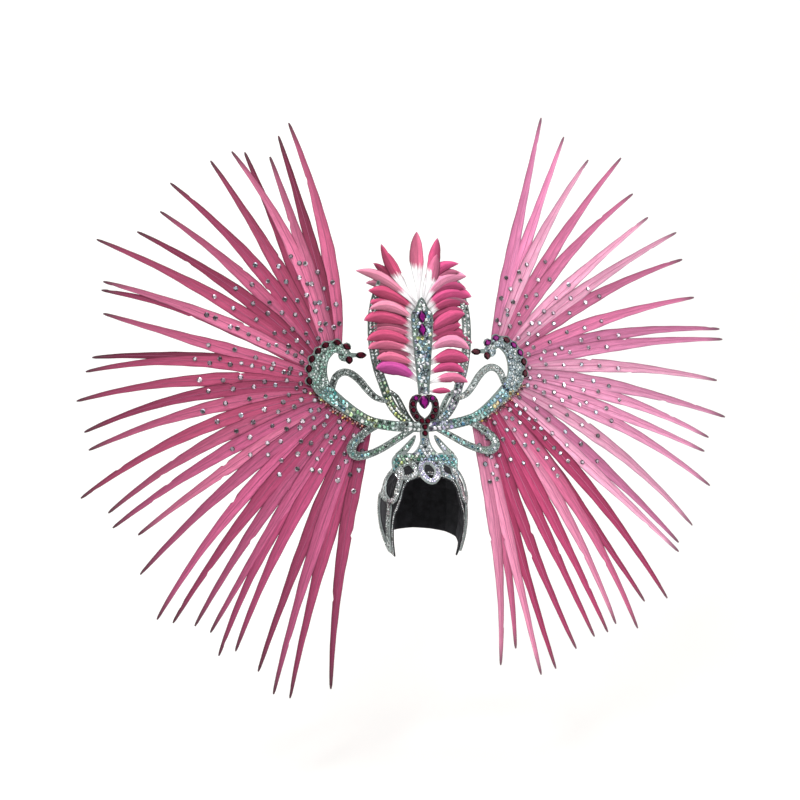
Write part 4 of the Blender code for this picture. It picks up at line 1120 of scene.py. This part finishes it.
# Crest feathers from the top down, a row being place on the spire, tip out, tip up, bow and width
crest = {
    "rise": 0.376, "width": 0.027, "rootOut": 0.0039, "seeds": {"left": 102, "right": 101},
    "depth": 0.0014, "layer": 0.0017, "curl": 0.006, "fold": 0.35, "spread": 0.12,
    # shorter feathers lie behind, each between two of these rows, made darker with painted shade, and the
    # rows in front get painted light
    "filled": {"left": (2, 13), "right": (2, 8)}, "under": (1.0, 0.93, 0.985, 1.0, 0.85),
    "underDepth": 0.0045, "underPaintedShade": 0.62, "frontPaintedLight": 1.06,
    "vane": [
        (0.00, 0.12), (0.12, 0.22), (0.26, 0.46), (0.40, 0.78), (0.56, 1.02), (0.70, 1.02),
        (0.82, 0.82), (0.91, 0.53), (0.97, 0.24), (1.00, 0.04),
    ],
    "left": [
        (0.97, 0.015, 1.000, 0.00, 1.1), (0.95, 0.198, 0.935, 0.03, 0.9), (0.92, 0.180, 0.905, 0.06, 1.0),
        (0.90, 0.325, 0.798, -0.03, 1.0), (0.86, 0.268, 0.692, -0.04, 1.1), (0.80, 0.258, 0.632, -0.04, 1.1),
        (0.74, 0.263, 0.598, -0.04, 1.0), (0.66, 0.292, 0.540, -0.05, 1.0), (0.57, 0.263, 0.480, -0.05, 1.1),
        (0.47, 0.280, 0.440, -0.06, 1.0), (0.38, 0.273, 0.396, -0.06, 1.0), (0.26, 0.232, 0.345, -0.06, 1.0),
        (0.10, 0.237, 0.296, -0.08, 1.1),
    ],
    "right": [
        (0.97, 0.100, 0.973, 0.02, 1.0), (0.95, 0.090, 0.885, 0.02, 0.9), (0.93, 0.213, 0.843, -0.10, 0.9),
        (0.90, 0.253, 0.777, -0.10, 1.2), (0.84, 0.275, 0.670, -0.12, 1.3), (0.78, 0.263, 0.630, -0.08, 1.0),
        (0.62, 0.232, 0.580, -0.02, 1.0), (0.56, 0.213, 0.519, -0.03, 1.0), (0.46, 0.275, 0.428, -0.12, 1.1),
        (0.42, 0.253, 0.396, -0.06, 1.0), (0.28, 0.248, 0.338, -0.08, 1.0), (0.18, 0.223, 0.277, -0.04, 0.9),
        (0.10, 0.240, 0.226, -0.02, 0.8), (0.03, 0.150, 0.180, 0.03, 0.5),
    ],
    "colours": {
        "left": ["#cc5078", "#d46c8c", "#b64468", "#e08aa4"],
        "right": ["#d05084", "#da7498", "#bc4a74", "#e48eae"],
    },
    "lowLeft": "#c84f9c",
    # light across a vane: the lower half is turned in and darker
    "shade": [(-1.0, 1.30), (-0.3, 1.05), (0.1, 0.72), (1.0, 0.42)],
}


def vaneMaster(columns, stations):
    # a flat grid over the feather, across from -1 to 1 and along from 0 to 1
    deselectAll()
    bpy.ops.mesh.primitive_grid_add(x_subdivisions=columns, y_subdivisions=stations, size=2.0)
    points, faces = meshArrays(bpy.context.object)
    return points[:, 0], (points[:, 1] + 1) / 2, faces


def quillMaster(stations):
    deselectAll()
    bpy.ops.mesh.primitive_cylinder_add(vertices=5, radius=1.0, depth=1.0, location=(0, 0, 0.5))
    thing = bpy.context.object
    bpy.ops.object.transform_apply(location=True, rotation=False, scale=False)
    bpy.ops.object.mode_set(mode="EDIT")
    form = bmesh.from_edit_mesh(thing.data)
    for step in range(1, stations):
        parts = form.verts[:] + form.edges[:] + form.faces[:]
        bmesh.ops.bisect_plane(form, geom=parts, dist=1e-6, plane_co=(0, 0, step / stations),
                               plane_no=(0, 0, 1))
    bmesh.update_edit_mesh(thing.data)
    bpy.ops.object.mode_set(mode="OBJECT")
    return meshArrays(thing)


fanVane = vaneMaster(8, 110)
crestVane = vaneMaster(8, 48)
fanQuill = quillMaster(22)


def centreLine(root, tip, bow, shares, hook=0.0):
    # places and directions along a bowed feather, hooked towards its tip
    chord = tip - root
    normal = np.array([-chord[1], chord[0]])
    shares = np.asarray(shares)[:, None]
    aside = bow * 4 * shares * (1 - shares) + hook * (shares ** 4 - shares)
    places = root + chord * shares + normal * aside
    slopes = chord + normal * (bow * 4 * (1 - 2 * shares) + hook * (4 * shares ** 3 - 1))
    slopes = slopes / np.linalg.norm(slopes, axis=1, keepdims=True)
    return places, slopes


def ragged(rng, count, splits, depth):
    # how far each station of a vane's edge is drawn in, with a few places where the barbs have parted
    waves = rng.uniform(0, 2 * math.pi, 2)
    steps = np.arange(count)
    drawn = 0.05 + 0.03 * np.sin(steps * 0.23 + waves[0]) + 0.02 * np.sin(steps * 0.51 + waves[1])
    for _ in range(splits):
        at = rng.integers(int(count * 0.3), count - 3)
        drawn[at:at + 3] += np.array([0.35, 0.7, 1.0]) * rng.uniform(0.4, 1.0) * depth
    return drawn


def featherPoints(vane, line, profile, width, depthAt, tilt, fold, rng, splits):
    # line is root, tip, bow and hook; fold is how far both halves slope back from the quill
    across, along = vane[:2]
    root, tip, bow, hook = line
    places, slopes = centreLine(root, tip, bow, along, hook)
    half = np.interp(along, *zip(*profile)) * width / 2
    stations = np.round(along * (len(np.unique(np.round(along, 5))) - 1)).astype(int)
    leftEdge, rightEdge = [ragged(rng, stations.max() + 1, count, 0.35) for count in splits]
    drawn = np.where(across > 0.9, rightEdge[stations], np.where(across < -0.9, leftEdge[stations], 0.0))
    reach = across * half * (1 - drawn)
    forward = np.abs(across) * half * 0.25
    side = np.stack([slopes[:, 1], -slopes[:, 0]], axis=1)
    flat = places + side * reach[:, None] + slopes * forward[:, None]
    depth = depthAt(along) + tilt * reach + fold * np.abs(reach) ** 1.4 * 8
    return np.stack([flat[:, 0], depth, flat[:, 1]], axis=1)


def quillPoints(root, tip, bow, thick, depthAt, lift):
    points = fanQuill[0]
    along = points[:, 2]
    places, slopes = centreLine(root, tip, bow, along)
    side = np.stack([slopes[:, 1], -slopes[:, 0]], axis=1)
    radius = thick * (1 - 0.85 * along)
    flat = places + side * (points[:, 0] * radius)[:, None]
    depth = depthAt(along) + points[:, 1] * radius - lift
    return np.stack([flat[:, 0], depth, flat[:, 1]], axis=1)


def tintRows(code, count, rng, spread, bare=-1.0):
    colour = np.array(linearHex(code)[:3]) * rng.uniform(1 - spread, 1 + spread)
    return np.tile(np.append(np.clip(colour, 0, 1), bare), (count, 1))


def fanLine(name, side, index):
    # root, tip and bow of one long feather, and how far down the fan it is
    angle, reach, bow = fans[name][index]
    share = index / (len(fans[name]) - 1)
    first, last = fans["roots"]
    root = alongRoute(swanRows[side], [first + (last - first) * share])[0][:2] * np.array([side, 1])
    turn = math.radians(angle)
    tip = np.array([side * math.cos(turn), math.sin(turn)]) * reach * fans["reach"]
    return root, tip, side * bow, share


def makeFan(name, side, material, quill):
    rng = np.random.default_rng(fans["seeds"][name])
    vanes, quills, faces, quillFaces, uv, tint = [], [], [], [], [], []
    across, along, vaneFaces = fanVane
    # painted shade and light across each vane, multiplied into its tint
    paintedFoldShade = np.interp(across * side, *zip(*fans["shade"]))[:, None] ** np.array(fans["shadeTint"])
    for index in range(len(fans[name])):
        root, tip, bow, share = fanLine(name, side, index)
        middle = fans["depth"] + fans["layer"] * (index % 2)
        curl = rng.uniform(*fans["curl"])
        depthAt = lambda t, middle=middle, curl=curl: middle + curl * t ** 2
        points = featherPoints(fanVane, (root, tip, bow, 0.0), fans["vane"], fans["width"], depthAt,
                               side * fans["tilt"], fans["fold"], rng,
                               (rng.integers(0, 2), rng.integers(0, 2)))
        vanes.append(inPlace(points))
        faces += movedFaces(vaneFaces, index * len(points))
        uv.append(np.stack([(across + 1) / 2, along], axis=1))
        colours = fans["colours" if share < fans["lowFrom"] else "lowColours"][name]
        shade = tintRows(pick(rng, colours), len(points), rng, fans["spread"])
        shade[:, :3] *= paintedFoldShade
        tint.append(shade)
        quillRows = inPlace(quillPoints(root, tip, bow, fans["quill"], depthAt, fans["quillLift"]))
        quillFaces += movedFaces(fanQuill[1], index * len(quillRows))
        quills.append(quillRows)
    piece = meshPiece(f"fanFeathers_{name}", np.vstack(vanes), faces, material,
                      np.vstack(uv), np.vstack(tint))
    settle(piece, [f"fan_{name}"])
    settle(meshPiece(f"fanQuills_{name}", np.vstack(quills), quillFaces, quill))


def makeCrest(name, side, material):
    rng = np.random.default_rng(crest["seeds"][name])
    across, along, vaneFaces = crestVane
    vanes, faces, uv, tint = [], [], [], []
    table = crest[name]
    first, last = crest["filled"][name]
    pairs = zip(table[first:last], table[first + 1:last])
    under = [(np.array(above) + np.array(below)) / 2 * crest["under"] for above, below in pairs]
    # painted shade across each crest vane, lower half darker, multiplied into its tint
    paintedFoldShade = np.interp(across * side, *zip(*crest["shade"]))[:, None]
    for index, (rootUp, out, up, bow, wide) in enumerate(table + under):
        behind = index >= len(table)
        root = np.array([side * crest["rootOut"], drawing["spireBase"] + rootUp * drawing["spireHeight"]])
        tip = np.array([side * out, up]) * crest["rise"]
        middle = crest["depth"] + crest["layer"] * (index % 3) + crest["underDepth"] * behind
        curl = rng.uniform(-crest["curl"], crest["curl"])
        depthAt = lambda t, middle=middle, curl=curl: middle + curl * t ** 2
        # the fluffy lower part stays white; the feathers of the top are dyed at their tips only
        bare = 0.50 if rootUp > 0.91 else rng.uniform(0.18, 0.32)
        droop = rng.uniform(0.08, 0.30) if rootUp < 0.94 else 0.0
        line = (root, tip, -side * bow * 1.5, -side * droop)
        width = wide * rng.uniform(0.8, 1.12) * crest["width"]
        points = featherPoints(crestVane, line, crest["vane"], width, depthAt,
                               -side * rng.uniform(0.02, 0.22), crest["fold"], rng, (0, rng.integers(0, 2)))
        vanes.append(inPlace(points))
        faces += movedFaces(vaneFaces, index * len(points))
        uv.append(np.stack([(across + 1) / 2, along], axis=1))
        lowest = name == "left" and index == len(table) - 1
        code = crest["lowLeft"] if lowest else pick(rng, crest["colours"][name])
        shade = tintRows(code, len(points), rng, crest["spread"], bare)
        # painted shade on the feathers behind, painted light on those in front
        shade[:, :3] *= crest["underPaintedShade"] if behind else crest["frontPaintedLight"]
        shade[:, :3] *= paintedFoldShade
        tint.append(shade)
    piece = meshPiece(f"crestFeathers_{name}", np.vstack(vanes), faces, material,
                      np.vstack(uv), np.vstack(tint))
    settle(piece, [f"crest_feathers_{name}"])


featherStones = {
    "seeds": {"left": 112, "right": 111}, "radius": (0.0042, 0.0052), "front": 0.0006, "paintedFlashLevel": 0.66,
    "starts": (0.052, 0.034),    # first stone's distance from the swan, by turns
    "stray": 0.006, "aside": 0.004, "step": 0.033, "widening": 0.014,
}


def makeFeatherCrystals(name, side):
    # single stones glued to the feathers, thinning out away from the swan
    rng = np.random.default_rng(featherStones["seeds"][name])
    stray, aside = featherStones["stray"], featherStones["aside"]
    seats = []
    for index in range(len(fans[name])):
        root, tip, bow, share = fanLine(name, side, index)
        length = np.linalg.norm(tip - root)
        distance = featherStones["starts"][index % 2]
        limit = 0.165 + 0.085 * math.sin(math.pi * min(1.0, share * 1.25)) if share < 0.8 else 0.15
        while distance < limit:
            at = distance + rng.uniform(-stray, stray)
            places, slopes = centreLine(root, tip, bow, [at / length])
            spot = places[0] + np.array([slopes[0][1], -slopes[0][0]]) * rng.uniform(-aside, aside)
            place = inPlace([(spot[0], featherStones["front"], spot[1])])[0]
            radius, colour = rng.uniform(*featherStones["radius"]), pick(rng, stoneColours["blush"])
            seats.append((place, radius, colour, (side * 0.1, -1.0, 0.1)))
            distance += featherStones["step"] + featherStones["widening"] * distance / limit
    stonePiece(f"featherCrystals_{name}", fineStone, seats, featherStones["paintedFlashLevel"])


# Edges and settings

def rimLoop(outline, front, side):
    # a closed outline, resampled and set in place
    closed = np.vstack([outline, outline[:1]])
    lengths = pathLengths(closed)
    count = max(12, int(lengths[-1] / 0.0035))
    at = np.arange(count) / count * lengths[-1]
    flat = np.stack([np.interp(at, lengths, closed[:, 0]), np.interp(at, lengths, closed[:, 1])], axis=1)
    return inPlace(np.stack([side * flat[:, 0], np.full(count, front), flat[:, 1]], axis=1))


def settingMaster():
    # a low collar round a stone
    deselectAll()
    bpy.ops.mesh.primitive_torus_add(major_radius=1.0, minor_radius=0.09, major_segments=24, minor_segments=6)
    return meshArrays(bpy.context.object)


def mainOutline(kind, turn):
    out, up = math.cos(turn), math.sin(turn)
    if kind == "navette" or kind == "pear" and out > 0:
        up *= abs(up) ** 0.8
    return out, up


settings = {
    "round": (0.0112, 0.0112), "swanNavette": (0.0172, 0.0122), "spireNavette": (0.0248, 0.0170),
    "beakPear": (0.0205, 0.0125), "cheekPear": (0.0155, 0.0140), "heartPear": (0.0260, 0.0200),
    "clearance": 0.0001, "wide": 0.0035, "high": 0.006, "sunk": 0.0004,
}


def settingPoints(collar, stone, centre, turn, front):
    # the collar drawn to one stone's outline and size, then turned and set in place
    points = collar[0]
    size = settings[stone]
    kind = "pear" if "Pear" in stone else ("navette" if "Navette" in stone else "round")
    angles = np.arctan2(points[:, 1], points[:, 0])
    reach = np.hypot(points[:, 0], points[:, 1]) - 1.0
    slant = math.radians(turn)
    result = []
    for angle, beyond, high in zip(angles, reach, points[:, 2]):
        out, up = mainOutline(kind, angle)
        x = out * (size[0] / 2 + settings["clearance"]) + math.cos(angle) * beyond * settings["wide"]
        z = up * (size[1] / 2 + settings["clearance"]) + math.sin(angle) * beyond * settings["wide"]
        result.append((centre[0] + x * math.cos(slant) - z * math.sin(slant),
                       front - settings["sunk"] + high * settings["high"],
                       centre[1] + x * math.sin(slant) + z * math.cos(slant)))
    return inPlace(result)


def makeSettings():
    collar = settingMaster()
    base, height = heartRing["base"], heartRing["height"]
    roll = math.degrees(drawing["wingRoll"])
    seats = []
    for side in sides.values():
        seats += [("round", (side * out * heartRing["halfWidth"], base + up * height), 0.0)
                  for out, up in mainStones["heart"]]
        mirror = np.array([side, 1.0])
        seats += [("swanNavette", wingPlace(side, out, up) * mirror, side * turn + roll)
                  for out, up, turn in mainStones["swan"]]
        beakTurn = roll + (180.0 if side > 0 else 0.0)
        seats.append(("beakPear", wingPlace(side, *mainStones["beak"]) * mirror, beakTurn))
        seats.append(("cheekPear", wingPlace(side, *mainStones["cheek"]) * mirror, roll - 90.0))
    seats += [("round", (0.0, up), 0.0) for up in mainStones["stalk"]]
    seats += [("spireNavette", (0.0, drawing["spireBase"] + up * drawing["spireHeight"]), 90.0)
              for up in mainStones["spire"]]
    seats.append(("heartPear", (0.0, base + mainStones["heartPear"] * height), -90.0))
    points, faces = [], []
    for index, (stone, centre, turn) in enumerate(seats):
        rows = settingPoints(collar, stone, centre, turn, drawing["bandFront"])
        faces += movedFaces(collar[1], index * len(rows))
        points.append(rows)
    settle(meshPiece("stoneSettings", np.vstack(points), faces, silver))


rims = {"inset": 0.0004, "wire": 0.0007, "proud": 0.0001}


def makeRims():
    # fine wire round the front edge of each band
    front = drawing["bandFront"] - rims["proud"]
    for name, side in sides.items():
        edges = [
            (wingRows("bowLoop", side), False, front),
            (wingRows("wingLoop", side), True, drawing["backingFront"] - rims["proud"]),
            (bandRows(bands["lyre"]), True, drawing["lyreFront"] - rims["proud"]),
            (swanRows[side], False, front),
            (bandRows(bands["leaf"]), True, front),
        ]
        loops = [rimLoop(bandOutline(rows, -rims["inset"], pointed), at, side) for rows, pointed, at in edges]
        wireAlong(f"bandRims_{name}", loops, rims["wire"], silver)
    loops = [rimLoop(bandOutline(spireRows(), -rims["inset"], True), front, 1), rimLoop(heartInner, front, 1)]
    wireAlong("crestRims", loops, rims["wire"], silver)


capEdge = [
    (0.0, 0.14), (17.0, 0.16), (29.0, 0.18), (37.0, 0.215), (41.0, 0.28), (43.5, 0.38),
    (48.0, 0.47), (53.5, 0.55), (57.5, 0.67), (61.5, 0.80), (67.0, 0.93), (71.5, 1.00),
    (79.0, 0.97), (89.0, 0.89), (105.0, 0.83), (130.0, 0.79), (155.0, 0.77), (180.0, 0.76),
]


def capEdgeRoute(parts):
    # longitude and depth all round the cap's edge, each stretch cut into the given number of parts
    half = [(longitude, share * headForm["cheekDepth"]) for longitude, share in capEdge]
    edge = [(-longitude, depth) for longitude, depth in half[:0:-1]] + half[:-1]
    route = []
    for index, (longitude, depth) in enumerate(edge):
        following = edge[(index + 1) % len(edge)]
        step = following[0] - longitude if following[0] > longitude else following[0] + 360 - longitude
        for part in range(parts):
            route.append((longitude + step * part / parts, depth + (following[1] - depth) * part / parts))
    return route


def makeCapBinding():
    # the rolled and stitched edge of the cap, round the middle of its wall
    loop = [tuple(capPoint(longitude, depth, headForm["wall"] / 2)) for longitude, depth in capEdgeRoute(3)]
    wireAlong("capBinding", [loop], 0.0019, felt)


edgeStones = {
    "seed": 121, "toLongitude": 100,
    "rows": [(0.0027, 0.0006, 0.0036), (0.0022, 0.0046, 0.0034)],    # lift, place above the edge, stone
}


def makeEdgeStones():
    # two rows of silver stones sewn round the front of the cap's edge
    rng = np.random.default_rng(edgeStones["seed"])
    route = [row for row in capEdgeRoute(40) if abs(row[0]) < edgeStones["toLongitude"]]
    seats = []
    for lift, above, size in edgeStones["rows"]:
        last = None
        for longitude, depth in route:
            place = capPoint(longitude, depth - above, lift)
            if last is None or (place - last).length > size * 0.98:
                facing = headNormal(longitude, depth) + Vector((0.0, -0.6, 0.0))
                if not footCovers(place):
                    colour = pick(rng, stoneColours["silver"])
                    seats.append((np.array(place), size / 2, colour, tuple(facing)))
                last = place
    stonePiece("edgeStones", seedStone, seats)


def dressNodes():
    dress("cap_base", felt)
    bright = mirrorCardMaterial("mirrorCard", "#6c7a76", "#7a8682")
    dark = mirrorCardMaterial("mirrorCardGreen", "#3f4a45", "#5c6863")
    white = mirrorCardMaterial("mirrorCardPale", "#8a9492", "#a8b0ae")
    scroll = mirrorCardMaterial("mirrorCardGrey", "#868e8d", "#7b8382", "#868e8d")
    for name in sides:
        dress(f"swan_{name}", bright)
        dress(f"bow_loop_{name}", bright)
        dress(f"wing_loop_{name}", dark if name == "left" else white)
        dress(f"lyre_{name}", dark if name == "left" else bright)
        dress(f"scrollwork_{name}", scroll)
    dress("crest_foot", white)
    dress("spire", bright)
    dress("brow_loop", white)
    dress("heart_frame", mirrorCardMaterial("mirrorCardWine", "#2e1219", "#5c4a4e"))
    dress("hub_plate", felt)
    ruby = gemMaterial("rubyGlass", "#120106", "#54081f")
    amethyst = gemMaterial("amethystGlass", "#240328", "#8c1478")
    purple = ["heart_pear", "heart_stone_01", "heart_stone_06", "spire_stone_1", "spire_stone_2"]
    purple += [f"swan_stone_right_{number}" for number in (1, 2, 4, 5)]
    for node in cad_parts:
        if "stone" in node or "pear" in node:
            dress(node, amethyst if node in purple else ruby)


tailFeathers = {
    "left": featherMaterial("dyedTailFeather", 240, "#5c4448", 0.89, "#8c3558", 0.94, 0.62),
    "right": featherMaterial("dyedTailFeatherPale", 240, "#6c545c", 0.91, "#8c3558", 0.94, 0.92),
}
quillHorns = {
    "left": newMaterial("quillHorn", {"Base Color": linearHex("#94486a"), "Roughness": 0.6})[0],
    "right": newMaterial("quillHornPale", {"Base Color": linearHex("#b8668a"), "Roughness": 0.6})[0],
}
crestFeather = featherMaterial("dyedGooseFeather", 90, "#c87a98", 0.96, "#f2eef0", 0.80, 0.95)
for sideName, sideSign in sides.items():
    makeFan(sideName, sideSign, tailFeathers[sideName], quillHorns[sideName])
    makeCrest(sideName, sideSign, crestFeather)
    makeFeatherCrystals(sideName, sideSign)
print("feathers made")
for sideName, sideSign in sides.items():
    makeSwanStones(sideName, sideSign)
    makeLoopStones(sideName, sideSign)
    makeLyreStones(sideName, sideSign)
    makeScrollStones(sideName, sideSign)
    makeFeatherTrim(sideName, sideSign)
makeSpireStones()
makeFootStones()
makeBrowStones()
print("stones set")
makeSettings()
makeRims()
makeCapBinding()
makeEdgeStones()
dressNodes()
print("edges and finishes done")


# Floor, light and camera

studio = {
    "floor": -0.62, "wallBehind": 1.9, "wallHeight": 4.0, "halfWidth": 6.0, "front": -6.0, "corner": 1.2,
    "roomLight": 0.60,
    "lamps": {                   # place, target, size and watts
        "keyLamp": ((-1.3, -2.3, 2.0), (0, 0, 0.1), 0.7, 42.0),
        "fillLamp": ((2.0, -2.2, 0.6), (0, 0, 0.1), 1.4, 14.0),
        "wallLamp": ((0.0, -0.2, 2.6), (0, 1.9, 0.4), 2.5, 45.0),
    },
    "azimuth": -11.0, "distance": 2.6, "across": 1.52, "aimOut": -0.0456, "aimUp": 0.116,
}


def makeBackdrop():
    # a sheet of paper on the floor that curves up into a wall behind
    deselectAll()
    depth = studio["wallBehind"] - studio["corner"] - studio["front"]
    bpy.ops.mesh.primitive_plane_add(size=1.0, location=(0, studio["front"] + depth / 2, studio["floor"]))
    backdrop = bpy.context.object
    backdrop.name = "paperSweep"
    backdrop.scale = (2 * studio["halfWidth"], depth, 1.0)
    bpy.ops.object.transform_apply(location=True, rotation=False, scale=True)
    bpy.ops.object.mode_set(mode="EDIT")
    bpy.ops.mesh.select_mode(type="EDGE")
    bpy.ops.mesh.select_all(action="DESELECT")
    form = bmesh.from_edit_mesh(backdrop.data)
    for edge in form.edges:
        edge.select_set(min(vert.co.y for vert in edge.verts) > studio["front"] + depth / 2)
    bmesh.update_edit_mesh(backdrop.data)
    hinge = (0, studio["front"] + depth, studio["floor"] + studio["corner"])
    bpy.ops.mesh.spin(steps=16, angle=math.pi / 2, center=hinge, axis=(-1, 0, 0))
    rise = studio["wallHeight"] - studio["corner"]
    bpy.ops.mesh.extrude_region_move(TRANSFORM_OT_translate={"value": (0, 0, rise)})
    bpy.ops.mesh.select_all(action="SELECT")
    bpy.ops.mesh.normals_make_consistent(inside=True)    # towards the headdress
    bpy.ops.object.mode_set(mode="OBJECT")
    bpy.ops.object.shade_smooth()
    paper, tree, shader = newMaterial("whitePaper", {"Base Color": linearHex("#f7f7f5"), "Roughness": 0.9})
    # the sweep is clear when seen from behind, so that a camera there looks through it at the back
    facing = addNode(tree, "ShaderNodeNewGeometry").outputs["Backfacing"]
    solid = addNode(tree, "ShaderNodeMath", {"operation": "SUBTRACT", 0: 1.0}, {1: facing})
    tree.links.new(solid.outputs[0], shader.inputs["Alpha"])
    backdrop.data.materials.append(paper)


def addLamp(name, place, target, size, power):
    light = bpy.data.lights.new(name, "AREA")
    light.shape = "DISK"
    light.size = size
    light.energy = power
    lamp = bpy.data.objects.new(name, light)
    lamp.location = place
    lamp.rotation_euler = (Vector(target) - Vector(place)).to_track_quat("-Z", "Y").to_euler()
    bpy.context.scene.collection.objects.link(lamp)


def makeStudio():
    makeBackdrop()
    world = bpy.data.worlds.new("softRoom")
    world.use_nodes = True
    world.node_tree.nodes["Background"].inputs["Color"].default_value = (1.0, 1.0, 1.0, 1.0)
    world.node_tree.nodes["Background"].inputs["Strength"].default_value = studio["roomLight"]
    bpy.context.scene.world = world
    for name, lamp in studio["lamps"].items():
        addLamp(name, *lamp)
    bpy.context.scene.view_settings.view_transform = "Standard"
    aimDepth = -drawing["frameForward"] + math.tan(drawing["lean"]) * studio["aimUp"]
    target = Vector((studio["aimOut"], aimDepth, studio["aimUp"]))
    camera = bpy.data.cameras.new("photoCamera")
    camera.sensor_width = 36.0
    camera.lens = camera.sensor_width * studio["distance"] / studio["across"]
    stand = bpy.data.objects.new("photoCamera", camera)
    azimuth = math.radians(studio["azimuth"])
    stand.location = target + Vector((math.sin(azimuth), -math.cos(azimuth), 0.0)) * studio["distance"]
    stand.rotation_euler = (target - stand.location).to_track_quat("-Z", "Y").to_euler()
    bpy.context.scene.collection.objects.link(stand)
    bpy.context.scene.camera = stand


makeStudio()
print("studio ready")
